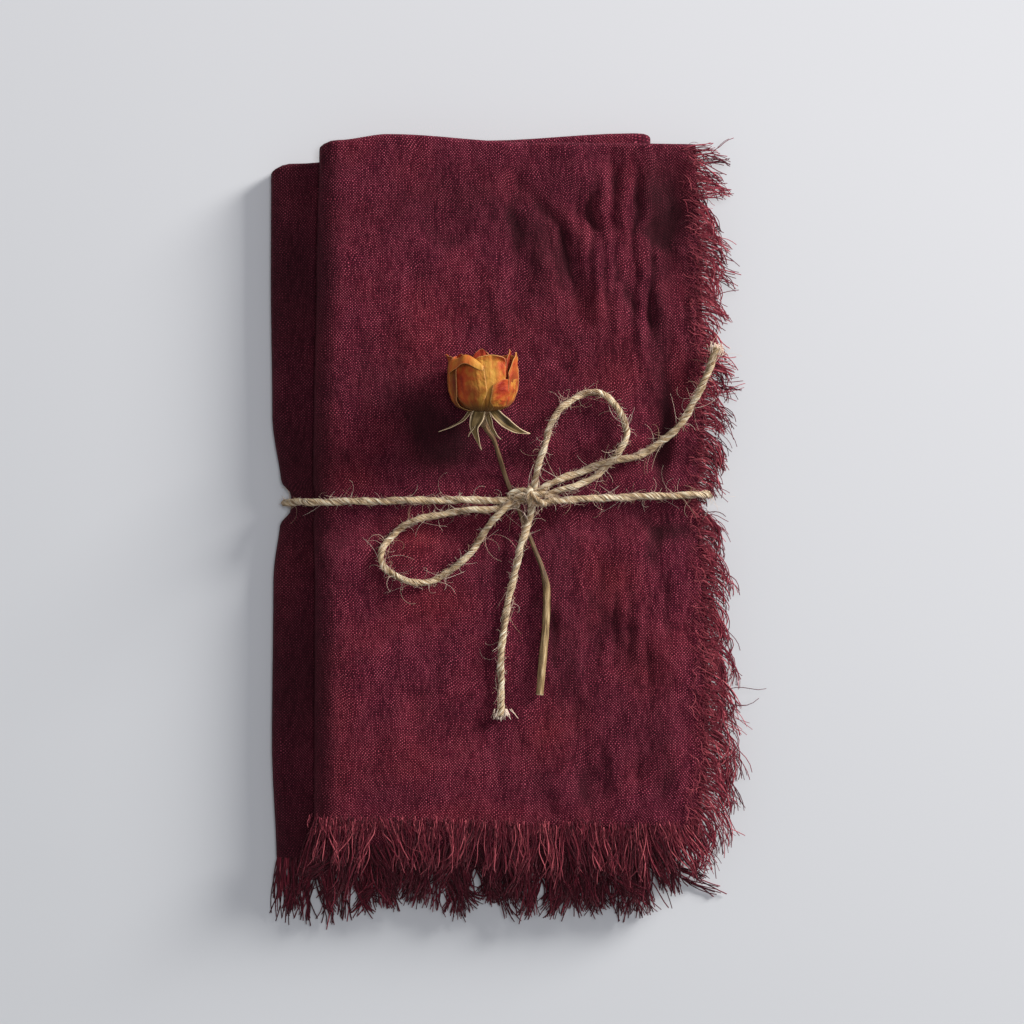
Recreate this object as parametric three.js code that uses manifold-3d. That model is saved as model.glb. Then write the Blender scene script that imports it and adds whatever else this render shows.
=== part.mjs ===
// A linen napkin, folded to a slim bundle and tied with jute twine round a dried rosebud.
// Sizes are in millimetres: X across the bundle, Y up to its folded top edge, Z up from the table.
import * as THREE from 'three';
import Module from 'manifold-3d';

const wasm = await Module();
wasm.setup();

// Driving sizes
const sheetThickness = 1.0;
const looseStep = 2.0;
const tiedStep = 1.35;
const airGap = 0.3;
const bedding = 0.25;
const twineDiameter = 2.4;
const twineLay = 16;
const boxCentre = { x: 0.95, y: 0.4 };
const floorGap = 0.1;
const groove = { y: 8.6, slope: 0.019, middleX: 7, flat: 2.2, lift: 11, squeeze: 17 };
const fringeZone = { from: 82, to: 112, squeeze: 0.47 };
const droop = { from: 43, rate: 0.0011, straightFrom: 14, lowestLevel: 5.2 };
const foldReach = { outside: 5.0, insidePerStep: 0.55 };
const topTurnReach = 1.1;
const bite = { depth: 2.6, flat: 2.6, reach: 9 };

// Where the frayed side edges and the folds lie across the bundle, from the hem up to the top.
const foldLines = [
  { y: -97, edge1: 51.5, fold1: -55.9, fold2: 42.6, fold3: -67.0, edge2: 46.0 },
  { y: -62, edge1: 56.0, fold1: -55.7, fold2: 43.0, fold3: -68.3, edge2: 47.0 },
  { y: -16, edge1: 55.6, fold1: -55.6, fold2: 43.0, fold3: -67.9, edge2: 47.7 },
  { y: 8.6, edge1: 55.0, fold1: -56.3, fold2: 42.0, fold3: -65.3, edge2: 47.0 },
  { y: 33, edge1: 54.6, fold1: -55.8, fold2: 42.0, fold3: -68.2, edge2: 47.7 },
  { y: 70, edge1: 53.4, fold1: -55.1, fold2: 41.6, fold3: -68.6, edge2: 47.7 },
  { y: 114, edge1: 51.6, fold1: -54.2, fold2: 41.1, fold3: -68.5, edge2: 47.7 },
];

// How far the cloth runs up and down, followed along the zigzag: 0 is the first side edge,
// 1 to 3 are the folds and 4 is the last side edge.
const lengthStations = [
  { along: 0.0, top: 109.6, frontHem: -86.3, backHem: -91.2 },
  { along: 0.45, top: 109.9, frontHem: -85.6, backHem: -91.0 },
  { along: 0.86, top: 112.4, frontHem: -84.6, backHem: -90.6 },
  { along: 1.0, top: 110.7, frontHem: -84.6, backHem: -90.6 },
  { along: 1.5, top: 110.9, frontHem: -89.5, backHem: -92.8 },
  { along: 2.0, top: 113.0, frontHem: -93.4, backHem: -94.2 },
  { along: 2.5, top: 109.5, frontHem: -94.6, backHem: -95.4 },
  { along: 3.0, top: 104.6, frontHem: -95.0, backHem: -96.0 },
  { along: 4.0, top: 108.0, frontHem: -94.5, backHem: -95.5 },
];

// Broad swells and hollows of the loose bundle: height at the top layer, half sizes, turn.
const swells = [
  { x: 46, y: 87, height: -1.5, across: 6, along: 10, turn: 0 },
  { x: 43, y: 33, height: -1.3, across: 5, along: 22, turn: 0 },
  { x: 10, y: 88, height: -1.0, across: 5, along: 16, turn: 35 },
  { x: -18, y: 95, height: -0.9, across: 14, along: 6, turn: 0 },
  { x: 32, y: -32, height: -1.1, across: 7, along: 11, turn: 0 },
  { x: 18, y: -25, height: -0.8, across: 5, along: 24, turn: 0 },
  { x: 24, y: -72, height: -1.2, across: 6, along: 13, turn: 0 },
  { x: -28, y: 50, height: 0.9, across: 20, along: 26, turn: 0 },
  { x: -26, y: -38, height: 0.8, across: 20, along: 28, turn: 0 },
  { x: 26, y: 66, height: 0.8, across: 9, along: 18, turn: 0 },
];

const panelLevels = [6.5, 4.5, 2.5, 0.5];
const foldLevels = [5.5, 3.5, 1.5];
const topLevel = 7;
const panelSteps = [10, 6, 6, 6];
const foldSteps = 5;
const lowerRows = [0, 0.3, 0.56, 0.8];
const upperRows = [0.2, 0.45, 0.7, 1];
const grooveRows = [-13, -7.5, -2.4, 2.4, 7.5, 13];
const turnSteps = 4;

const fringe = {
  stripWidth: 1.5, stripThickness: 0.8, lockWidth: 2.6, tipWidth: 1.2, lockThickness: 0.66,
  length: 15.5, sideLength: 10, sideGrowth: 3, shownSpacing: 6.3, sideSpacing: 7.2,
  hiddenSpacing: 13, tieGap: 4.5,
};

const colours = {
  cloth: { color: 0x5b2230, roughness: 0.95 },
  fringe: { color: 0x66202e, roughness: 0.95 },
  twine: { color: 0xc4ad8b, roughness: 0.9 },
  petal: { color: 0xa55a2c, roughness: 0.7 },
  leaf: { color: 0x8d8560, roughness: 0.8 },
  stem: { color: 0x83684a, roughness: 0.8 },
};

// Small sums
function blend(low, high, share) {
  return low + (high - low) * share;
}

function smooth(value, start, end) {
  const share = Math.min(1, Math.max(0, (value - start) / (end - start)));
  return share * share * (3 - 2 * share);
}

function radians(degrees) {
  return degrees * Math.PI / 180;
}

// Reads one column of a table at a place between its rows, rounded off at the rows.
function readTable(table, key, place, column) {
  let row = 0;
  while (row < table.length - 2 && place > table[row + 1][key]) row += 1;
  const low = table[row];
  const high = table[row + 1];
  return blend(low[column], high[column], smooth(place, low[key], high[key]));
}

// A repeatable spread between 0 and 1, so the frayed ends look uneven.
function scatter(number) {
  const value = Math.sin(number * 12.9898 + 4.1414) * 43758.5453;
  return value - Math.floor(value);
}

// The heights of the layers
function tieLine(x) {
  return groove.y + groove.slope * (x - groove.middleX);
}

// The twine runs under the bundle, so the cloth is lifted off the table along it.
function liftAt(x, y) {
  const away = Math.abs(y - tieLine(x));
  const most = floorGap + twineDiameter + airGap;
  return most * (1 - smooth(away, groove.flat, groove.lift));
}

function swellAt(x, y) {
  let height = 0;
  for (const swell of swells) {
    const turn = radians(swell.turn);
    const dx = x - swell.x;
    const dy = y - swell.y;
    const across = (dx * Math.cos(turn) + dy * Math.sin(turn)) / swell.across;
    const along = (dy * Math.cos(turn) - dx * Math.sin(turn)) / swell.along;
    height += swell.height * Math.exp(-across * across - along * along);
  }
  return height;
}

function stepAt(x, y) {
  const loose = looseStep + swellAt(x, y) / topLevel;
  const away = Math.abs(y - tieLine(x));
  const tied = blend(tiedStep, loose, smooth(away, groove.flat, groove.squeeze));
  return tied * (1 - fringeZone.squeeze * smooth(-y, fringeZone.from, fringeZone.to));
}

// The first panel reaches past the layers below it and hangs down there, by this share.
function droopAt(x, level) {
  if (level < droop.lowestLevel) return 0;
  const past = Math.max(0, x - droop.from);
  const bent = Math.min(past, droop.straightFrom);
  return droop.rate * bent * (bent + 2 * (past - bent));
}

function heightAt(x, y, level) {
  const stack = stepAt(x, y) * level * (1 - droopAt(x, level));
  return sheetThickness / 2 + liftAt(x, y) + stack;
}

// The cloth, followed along its zigzag by columns and over its top fold by rows.
// side is 0.5 on the front layer of the doubled cloth and -0.5 on its back layer.
function biteAt(x, y) {
  const away = Math.abs(y - tieLine(x));
  return bite.depth * (1 - smooth(away, bite.flat, bite.reach));
}

function edgeAt(number, y) {
  if (number === 1) return readTable(foldLines, 'y', y, 'edge2');
  const line = readTable(foldLines, 'y', y, 'edge1');
  return line - biteAt(line, y) * 0.5;
}

// The centre of a fold's round, a reach inside its outermost line.
function foldCentre(fold, y) {
  const line = readTable(foldLines, 'y', y, `fold${fold}`);
  const outermost = foldReach.outside + sheetThickness / 2;
  if (fold === 2) return line - outermost;
  const pinch = fold === 3 ? 1 : 0.3;
  return line + outermost + pinch * biteAt(line, y);
}

function listColumns() {
  const columns = [];
  panelSteps.forEach((steps, index) => {
    const panel = index + 1;
    for (let count = 0; count <= steps; count += 1) {
      columns.push({ panel, share: count / steps, along: index + count / steps });
    }
    if (panel === panelSteps.length) return;
    for (let count = 1; count < foldSteps; count += 1) {
      columns.push({ fold: panel, turn: Math.PI * count / foldSteps, along: panel });
    }
  });
  return columns;
}

function panelPlace(panel, share, side, y) {
  const start = panel === 1 ? edgeAt(0, y) : foldCentre(panel - 1, y);
  const end = panel === 4 ? edgeAt(1, y) : foldCentre(panel, y);
  const facing = panel % 2 === 1 ? 1 : -1;
  return { x: blend(start, end, share), level: panelLevels[panel - 1] + side * facing };
}

function foldPlace(fold, turn, side, y) {
  const centre = foldCentre(fold, y);
  const outwards = fold === 2 ? 1 : -1;
  const outer = -outwards * side + 0.5;
  const inside = foldReach.insidePerStep * stepAt(centre, y);
  const reach = blend(inside, foldReach.outside, outer);
  const level = foldLevels[fold - 1] + (1 - outwards * side) * Math.cos(turn);
  return { x: centre + outwards * reach * Math.sin(turn), level };
}

function sectionPlace(column, side, y) {
  if (column.panel) return panelPlace(column.panel, column.share, side, y);
  return foldPlace(column.fold, column.turn, side, y);
}

function clothPoint(column, side, y) {
  const place = sectionPlace(column, side, y);
  return new THREE.Vector3(place.x, y, heightAt(place.x, y, place.level));
}

function lengthAt(column, name) {
  return readTable(lengthStations, 'along', column.along, name);
}

// The heights up the bundle of the rows of one layer, from its hem to where it turns over.
function rowHeights(column, hemName) {
  const hem = lengthAt(column, hemName);
  const middle = tieLine(sectionPlace(column, 0, groove.y).x);
  const low = middle + grooveRows[0];
  const high = middle + grooveRows[grooveRows.length - 1];
  const turn = lengthAt(column, 'top') - topTurnReach;
  const below = lowerRows.map((share) => blend(hem, low, share));
  const above = upperRows.map((share) => blend(high, turn, share));
  return [...below, ...grooveRows.map((offset) => middle + offset), ...above];
}

function columnPoints(column) {
  const front = rowHeights(column, 'frontHem').map((y) => clothPoint(column, 0.5, y));
  const back = rowHeights(column, 'backHem').map((y) => clothPoint(column, -0.5, y));
  const turn = lengthAt(column, 'top') - topTurnReach;
  const over = [];
  for (let count = 1; count < turnSteps; count += 1) {
    const angle = Math.PI * count / turnSteps;
    const y = turn + topTurnReach * Math.sin(angle);
    over.push(clothPoint(column, 0.5 * Math.cos(angle), y));
  }
  return [...front, ...over, ...back.reverse()];
}

// Closed meshes
function meshFrom(points, triangles) {
  const geometry = new THREE.BufferGeometry();
  const numbers = points.flatMap((point) => [point.x, point.y, point.z]);
  geometry.setAttribute('position', new THREE.Float32BufferAttribute(numbers, 3));
  geometry.setIndex(triangles);
  return geometry;
}

function gridNormal(grid, column, row) {
  const left = grid[Math.max(0, column - 1)][row];
  const right = grid[Math.min(grid.length - 1, column + 1)][row];
  const below = grid[column][Math.max(0, row - 1)];
  const above = grid[column][Math.min(grid[0].length - 1, row + 1)];
  const across = new THREE.Vector3().subVectors(left, right);
  const upwards = new THREE.Vector3().subVectors(above, below);
  return across.cross(upwards).normalize();
}

// Gives a grid of points a thickness: two skins, half of it to each side, and walls round the rim.
function sheetSolid(grid, thickness) {
  const columns = grid.length;
  const rows = grid[0].length;
  const skin = (sign) => grid.flatMap((line, column) => line.map((point, row) => (
    point.clone().addScaledVector(gridNormal(grid, column, row), sign * thickness / 2)
  )));
  const points = [...skin(1), ...skin(-1)];
  const under = columns * rows;
  const triangles = [];
  const quad = (a, b, c, d) => triangles.push(a, b, c, a, c, d);
  for (let column = 0; column < columns - 1; column += 1) {
    for (let row = 0; row < rows - 1; row += 1) {
      const a = column * rows + row;
      const b = a + rows;
      quad(a, a + 1, b + 1, b);
      quad(under + a, under + b, under + b + 1, under + a + 1);
    }
  }
  const wall = (a, b) => quad(a, b, under + b, under + a);
  for (let row = 0; row < rows - 1; row += 1) {
    const last = (columns - 1) * rows + row;
    wall(row + 1, row);
    wall(last, last + 1);
  }
  for (let column = 0; column < columns - 1; column += 1) {
    const a = column * rows;
    wall(a, a + rows);
    wall(a + rows + rows - 1, a + rows - 1);
  }
  return meshFrom(points, triangles);
}

// Joins rings of points, all of one count, into a closed tube with flat ends.
function tubeFromRings(rings) {
  const count = rings[0].length;
  const triangles = [];
  for (let ring = 0; ring < rings.length - 1; ring += 1) {
    for (let corner = 0; corner < count; corner += 1) {
      const next = (corner + 1) % count;
      const a = ring * count + corner;
      const b = ring * count + next;
      triangles.push(a, b, b + count, a, b + count, a + count);
    }
  }
  const last = (rings.length - 1) * count;
  for (let corner = 1; corner < count - 1; corner += 1) {
    triangles.push(0, corner + 1, corner);
    triangles.push(last, last + corner, last + corner + 1);
  }
  return meshFrom(rings.flat(), triangles);
}

// Joining solids
function solidFrom(geometry) {
  const vertProperties = Float32Array.from(geometry.attributes.position.array);
  const triVerts = Uint32Array.from(geometry.index.array);
  return new wasm.Manifold(new wasm.Mesh({ numProp: 3, vertProperties, triVerts }));
}

function joinSolids(geometries) {
  const solids = geometries.map(solidFrom);
  const joined = solids.reduce((whole, next) => whole.add(next));
  const mesh = joined.getMesh();
  const geometry = new THREE.BufferGeometry();
  geometry.setAttribute('position', new THREE.BufferAttribute(mesh.vertProperties, 3));
  geometry.setIndex(new THREE.BufferAttribute(mesh.triVerts, 1));
  return geometry;
}

// The fringes: a narrow strip just off the cloth's edge, with the frayed ends in locks on it
function stripSolid(centres, outwards) {
  const rings = centres.map((centre, index) => {
    const before = centres[Math.max(0, index - 1)];
    const after = centres[Math.min(centres.length - 1, index + 1)];
    const run = new THREE.Vector3().subVectors(after, before).normalize();
    const out = outwards.clone().multiplyScalar(fringe.stripWidth / 2);
    const up = new THREE.Vector3().crossVectors(run, outwards).normalize();
    up.multiplyScalar(fringe.stripThickness / 2);
    return [[1, 1], [-1, 1], [-1, -1], [1, -1]].map(([a, b]) => (
      centre.clone().addScaledVector(out, a).addScaledVector(up, b)
    ));
  });
  return tubeFromRings(rings);
}

// One lock of three sides that follows the height of its layer from its root to its tip.
function lockSolid({ x, y, level, heading, bend, length, steps, outwards }) {
  const rings = [];
  const skew = Math.abs(Math.sin(radians(heading) - Math.atan2(outwards.y, outwards.x)));
  const rootWidth = Math.min(fringe.lockWidth, fringe.stripWidth / skew);
  for (let count = 0; count <= steps; count += 1) {
    const share = count / steps;
    const angle = radians(heading + bend * share);
    const ahead = new THREE.Vector2(Math.cos(angle), Math.sin(angle));
    const centreX = x + ahead.x * length * share;
    const centreY = y + ahead.y * length * share;
    const half = blend(rootWidth, fringe.tipWidth, share) / 2;
    const side = new THREE.Vector3(-ahead.y, ahead.x, 0);
    const low = heightAt(centreX, centreY, level) - fringe.lockThickness / 2;
    const centre = new THREE.Vector3(centreX, centreY, low);
    const ridge = new THREE.Vector3(centreX, centreY, low + fringe.lockThickness);
    const left = centre.clone().addScaledVector(side, half);
    const right = centre.clone().addScaledVector(side, -half);
    rings.push([left, ridge, right]);
  }
  return tubeFromRings(rings);
}

// The hem's ends point down the bundle and fan out towards its right corner.
function hemHeading(x, number) {
  const fan = 30 * smooth(x, 30, 52) - 12 * smooth(-x, 48, 66);
  return -90 + fan + 9 * (scatter(number) - 0.5);
}

function hemFringe(side, hemName, seed) {
  const columns = listColumns();
  const away = airGap + fringe.stripWidth / 2;
  const stripY = (column) => lengthAt(column, hemName) - away;
  const centres = columns.map((column) => clothPoint(column, side, stripY(column)));
  const outwards = new THREE.Vector3(0, -1, 0);
  const pieces = [stripSolid(centres, outwards)];
  for (let panel = 1; panel <= 4; panel += 1) {
    const shown = panel === 1;
    const spacing = shown ? fringe.shownSpacing : fringe.hiddenSpacing;
    const width = Math.abs(foldCentre(1, -90) - edgeAt(0, -90));
    const count = Math.round(width / spacing);
    for (let lock = 0; lock < count; lock += 1) {
      const number = seed + panel * 40 + lock;
      const share = (lock + 0.5) / count;
      const column = { panel, share, along: panel - 1 + share };
      const y = stripY(column);
      const { x, level } = sectionPlace(column, side, y);
      const length = fringe.length * (0.86 + 0.24 * scatter(number + 0.5));
      const bend = shown ? 14 * (scatter(number + 0.3) - 0.5) : 0;
      const steps = shown ? 2 : 1;
      const heading = hemHeading(x, number);
      pieces.push(lockSolid({ x, y, level, heading, bend, length, steps, outwards }));
    }
  }
  for (const fold of side > 0 ? [1, 3] : [2]) {
    const column = { fold, turn: Math.PI / 2, along: fold };
    const y = stripY(column);
    const { x, level } = sectionPlace(column, side, y);
    const length = fringe.length * 0.85;
    pieces.push(lockSolid({ x, y, level, heading: -90, bend: 0, length, steps: 1, outwards }));
  }
  return joinSolids(pieces);
}

// The side ends point outwards: a little upwards at the top, swept down towards the hem.
function sideHeading(y, number) {
  const sweep = 14 * smooth(y, 60, 108) - 22 * smooth(-y, 0, 40) - 26 * smooth(-y, 55, 88);
  return sweep + 10 * (scatter(number) - 0.5);
}

function sideFringe(edge, columnAlong, level, seed) {
  const away = airGap + fringe.stripWidth / 2;
  const panel = edge === 0 ? 1 : 4;
  const column = { panel, share: edge, along: columnAlong };
  const outwards = new THREE.Vector3(1, 0, 0);
  const rowPoints = columnPoints(column);
  const centres = rowPoints.map((point) => {
    const moved = point.clone().addScaledVector(outwards, away);
    moved.z += heightAt(moved.x, moved.y, level) - heightAt(point.x, point.y, level);
    return moved;
  });
  const pieces = [stripSolid(centres, outwards)];
  const spacing = edge === 0 ? fringe.sideSpacing : fringe.hiddenSpacing;
  for (const side of [0.5, -0.5]) {
    const hem = lengthAt(column, side > 0 ? 'frontHem' : 'backHem') + 1.5;
    const top = lengthAt(column, 'top') - 3.5;
    const count = Math.floor((top - hem) / spacing);
    for (let lock = 0; lock <= count; lock += 1) {
      const number = seed + side * 80 + lock;
      const y = blend(hem, top, lock / count);
      if (Math.abs(y - tieLine(edgeAt(edge, y))) < fringe.tieGap) continue;
      const place = sectionPlace(column, side, y);
      const grown = fringe.sideLength + fringe.sideGrowth * smooth(-y, 0, 50);
      const length = grown * (0.86 + 0.24 * scatter(number + 0.5));
      const bend = edge === 0 ? 16 * (scatter(number + 0.3) - 0.5) : 0;
      const steps = edge === 0 ? 2 : 1;
      const heading = sideHeading(y, number);
      const x = place.x + away;
      pieces.push(lockSolid({ x, y, level: place.level, heading, bend, length, steps, outwards }));
    }
  }
  return joinSolids(pieces);
}

// The twine: two plies, so its section has two lobes that turn along it
const twineRadius = twineDiameter / 2;
const twineStep = 2.0;
const twineCorners = 6;
const plyWaist = 0.8;

function twineSolid(route) {
  const curve = new THREE.CatmullRomCurve3(route, false, 'centripetal');
  const length = curve.getLength();
  const steps = Math.round(length / twineStep);
  const frames = curve.computeFrenetFrames(steps, false);
  const rings = [];
  for (let step = 0; step <= steps; step += 1) {
    const centre = curve.getPointAt(step / steps);
    const turn = 2 * Math.PI * (length * step / steps) / twineLay;
    const ring = [];
    for (let corner = 0; corner < twineCorners; corner += 1) {
      const angle = 2 * Math.PI * corner / twineCorners;
      const radius = corner % (twineCorners / 2) === 0 ? twineRadius : twineRadius * plyWaist;
      const point = centre.clone();
      point.addScaledVector(frames.normals[step], radius * Math.cos(angle + turn));
      point.addScaledVector(frames.binormals[step], radius * Math.sin(angle + turn));
      ring.push(point);
    }
    rings.push(ring);
  }
  return tubeFromRings(rings);
}

// A point of a route: across, along, and how far the twine's underside is above the top layer.
function onCloth([x, y, above], radius) {
  const top = heightAt(x, y, topLevel) + sheetThickness / 2;
  return new THREE.Vector3(x, y, top + airGap + bedding + above + radius);
}

// Round the bundle: over the top from the knot's left, down the left folds, under, and up again.
const bandOver = [
  [-0.9, 7.9, 2.0], [-8, 8.0, 0.9], [-18, 8.0, 0.1], [-30, 7.9, 0], [-44, 7.6, 0], [-52, 7.5, 0.1],
];
const bandLeft = [
  [-57.4, 7.4, 13.4], [-59.2, 7.4, 10.9], [-61.9, 7.4, 8.9], [-63.9, 7.3, 6.4], [-64.2, 7.3, 4.0],
  [-62.4, 7.3, 2.0], [-58, 7.4, 1.4],
];
const bandUnder = [
  [-50, 7.5, 1.3], [-35, 7.8, 1.3], [-20, 8.1, 1.3], [0, 8.5, 1.3], [20, 8.9, 1.3], [38, 9.2, 1.3],
  [50, 9.4, 1.4],
];
const bandRight = [[55.2, 9.5, 2.2], [57.4, 9.6, 4.6], [58.0, 9.6, 8.0], [57.6, 9.6, 11.4]];
const bandBack = [
  [54.6, 9.5, 0.7], [47, 9.3, 0], [38, 9.0, 0], [28, 8.6, 0.2], [20.5, 8.2, 1.1], [14.4, 8.0, 1.7],
];

const loopRight = [
  [7.3, 12.2, 2.3], [8.8, 17.0, 3.0], [10.3, 23.2, 2.6], [11.7, 28.3, 2.0], [14.8, 34.6, 1.3],
  [17.6, 37.0, 1.0], [20.4, 38.4, 0.8], [23.8, 39.1, 0.7], [27.0, 38.4, 0.6], [29.8, 36.3, 0.6],
  [32.2, 33.1, 0.8], [33.2, 30.0, 1.2], [33.2, 26.2, 1.9], [32.6, 23.3, 2.6], [31.2, 20.4, 3.1],
  [28.2, 16.5, 2.6], [25.2, 14.6, 2.3], [21.3, 13.1, 2.3], [17.6, 11.9, 2.6], [13.8, 10.7, 2.8],
];
const loopLeft = [
  [-0.2, 5.2, 1.6], [-4.5, 5.0, 1.3], [-11, 4.5, 0.9], [-18, 3.8, 0.5], [-26.7, 2.9, 0.2],
  [-31, 1.2, 0.1], [-34, -0.8, 0.1], [-36.1, -4.2, 0.1], [-36.4, -7.6, 0.1], [-35.4, -11.4, 0.1],
  [-32.2, -14.0, 0.1], [-28, -15.2, 0.1], [-23.4, -15.0, 0.1], [-19.2, -13.9, 0.1], [-13.8, -10.9, 0.3],
  [-9.6, -6.6, 1.1], [-6.0, -2.2, 2.6], [-3.4, 1.0, 3.9], [-1.0, 3.3, 4.3], [1.3, 5.1, 3.9],
];
const tailRight = [
  [11.2, 12.4, 2.2], [15.4, 14.1, 1.8], [20.3, 15.9, 0.9], [26, 18.0, 0.2], [31, 19.5, 0.1],
  [37.7, 20.9, 0.1], [44.5, 25.2, 0.1], [49.5, 30.2, 0.4], [53.4, 36.6, 1.5], [55.8, 41.8, 2.8],
  [58.0, 47.0, 4.0], [59.6, 52.0, 5.0],
];
const tailDown = [
  [6.6, 5.1, 2.2], [5.8, 1.2, 2.2], [4.6, -3.0, 1.8], [3.4, -9.0, 0.7], [2.0, -14.0, 0.2],
  [0.4, -21.0, 0.1], [-1.0, -30.0, 0.1], [-1.7, -39.0, 0.1], [-1.7, -47.0, 0.1], [-1.6, -54.3, 0.1],
];

function fixedPoints(rows) {
  return rows.map(([x, y, z]) => new THREE.Vector3(x, y, z));
}

function clothPoints(rows, radius) {
  return rows.map((row) => onCloth(row, radius));
}

function bandRoute() {
  const over = clothPoints(bandOver, twineRadius);
  const back = clothPoints(bandBack, twineRadius);
  return [...over, ...fixedPoints([...bandLeft, ...bandUnder, ...bandRight]), ...back];
}

// The knot: bundled turns to the left, one thick turn to the right, and the turn that grips them
const knot = {
  height: 3.4,
  turns: [
    { x: 3.6, y: 9.8, radius: 1.35, length: 4.4, lean: 4 },
    { x: 3.7, y: 7.2, radius: 1.55, length: 4.2, lean: -3 },
    { x: 10.2, y: 8.9, radius: 1.85, length: 3.6, lean: 5 },
  ],
  grip: { x: 7.1, y: 8.7, ring: 2.0, wire: 1.15, lean: 18 },
};

function capsule({ x, y, radius, length, lean }, z) {
  const shape = new THREE.CapsuleGeometry(radius, length, 3, 8);
  shape.rotateZ(radians(90 + lean));
  shape.translate(x, y, z);
  return shape;
}

function gripTurn({ x, y, ring, wire, lean }, z) {
  const shape = new THREE.TorusGeometry(ring, wire, 6, 9);
  shape.rotateY(radians(90));
  shape.rotateZ(radians(lean));
  shape.translate(x, y, z);
  return shape;
}

// Welds the seams of a three.js shape so that it is one closed mesh.
function welded(geometry) {
  const places = new Map();
  const points = [];
  const position = geometry.attributes.position;
  const index = [];
  for (let number = 0; number < position.count; number += 1) {
    const point = new THREE.Vector3().fromBufferAttribute(position, number);
    const name = [point.x, point.y, point.z].map((value) => Math.round(value * 1000)).join(' ');
    if (!places.has(name)) {
      places.set(name, points.length);
      points.push(point);
    }
    index.push(places.get(name));
  }
  const corners = Array.from(geometry.index.array, (corner) => index[corner]);
  const triangles = [];
  for (let start = 0; start < corners.length; start += 3) {
    const [a, b, c] = corners.slice(start, start + 3);
    if (a !== b && b !== c && a !== c) triangles.push(a, b, c);
  }
  return meshFrom(points, triangles);
}

function knotSolid() {
  const z = heightAt(knot.grip.x, knot.grip.y, topLevel) + sheetThickness / 2 + airGap + knot.height;
  const turns = knot.turns.map((turn) => welded(capsule(turn, z)));
  return joinSolids([...turns, welded(gripTurn(knot.grip, z))]);
}

// The rosebud lies on its side on the cloth, its open end towards the top of the bundle
const bud = { x: -7.1, base: 33.4, z: 25.6, flatten: 0.9, around: 20, seamDepth: 0.07 };
const budProfile = [
  { along: 0.3, radius: 4.6, rim: 0 },
  { along: 2.6, radius: 8.0, rim: 0 },
  { along: 6.2, radius: 9.8, rim: 0 },
  { along: 10.2, radius: 10.1, rim: 0.2 },
  { along: 13.8, radius: 10.0, rim: 0.7 },
  { along: 16.4, radius: 9.6, rim: 1.5 },
  { along: 15.8, radius: 7.6, rim: 1.2 },
  { along: 13.6, radius: 5.4, rim: 0.6 },
  { along: 13.8, radius: 3.4, rim: 0 },
  { along: 15.2, radius: 1.4, rim: 0 },
];

// Overlapping petals: the radius steps out at each petal's edge and eases back to the next one.
function petalWave(angle, petals, start) {
  const share = ((angle - start) / (2 * Math.PI) * petals % 1 + 1) % 1;
  return share - 0.5;
}

function budSolid() {
  const rings = budProfile.map(({ along, radius, rim }) => {
    const ring = [];
    for (let count = 0; count < bud.around; count += 1) {
      const angle = 2 * Math.PI * count / bud.around;
      const out = radius * (1 + bud.seamDepth * petalWave(angle, 4, 1.2));
      const reach = along + rim * Math.cos(3 * angle + 0.6);
      const x = bud.x + out * Math.cos(angle);
      ring.push(new THREE.Vector3(x, bud.base + reach, bud.z + out * bud.flatten * Math.sin(angle)));
    }
    return ring;
  });
  return tubeFromRings(rings.map((ring) => ring.reverse()));
}

// The dried sepals hang back from the bud's base, each a thin blade on a curved line
const calyx = { x: -6.9, y: 31.7, radius: 2.3, length: 1.7 };
const sepals = [
  {
    width: 1.3,
    route: [
      [-8.2, 31.7, 25.0], [-11.4, 31.4, 24.6], [-14, 29.4, 23.4],
      [-16.8, 28.3, 21.6], [-19.8, 27.2, 19.4],
    ],
  },
  {
    width: 3.0,
    route: [
      [-7.8, 31.4, 26.0], [-9.0, 28.4, 25.8], [-9.7, 26.4, 25.4],
      [-8.9, 24.4, 24.4], [-7.2, 22.4, 23.2],
    ],
  },
  {
    width: 1.9,
    route: [
      [-6.0, 31.3, 25.6], [-4.7, 28.6, 25.6], [-3.9, 27.0, 25.2],
      [-2.7, 25.4, 24.4], [-1.2, 23.9, 23.4],
    ],
  },
  {
    width: 3.0,
    route: [
      [-5.7, 31.7, 26.2], [-2.2, 29.8, 26.9], [0.8, 28.3, 26.3],
      [3.8, 27.2, 24.6], [6.8, 26.6, 22.6],
    ],
  },
];
const sepalThickness = 0.7;

function sepalSolid({ width, route }) {
  const curve = new THREE.CatmullRomCurve3(fixedPoints(route), false, 'centripetal');
  const steps = 5;
  const rings = [];
  for (let step = 0; step <= steps; step += 1) {
    const share = step / steps;
    const centre = curve.getPointAt(share);
    const ahead = curve.getTangentAt(share);
    const side = new THREE.Vector3(0, 0, 1).cross(ahead).normalize();
    const up = new THREE.Vector3().crossVectors(ahead, side);
    const half = width / 2 * (0.25 + 0.9 * Math.sin(Math.PI * (0.18 + 0.72 * share)));
    const left = centre.clone().addScaledVector(side, half);
    const right = centre.clone().addScaledVector(side, -half);
    const over = centre.clone().addScaledVector(up, sepalThickness / 2);
    const under = centre.clone().addScaledVector(up, -sepalThickness / 2);
    rings.push([left, over, right, under]);
  }
  return tubeFromRings(rings);
}

function sepalsSolid() {
  const cup = new THREE.SphereGeometry(1, 10, 6);
  cup.scale(calyx.radius, calyx.length, calyx.radius);
  cup.translate(calyx.x, calyx.y, bud.z - 0.4);
  return joinSolids([welded(cup), ...sepals.map(sepalSolid)]);
}

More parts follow.
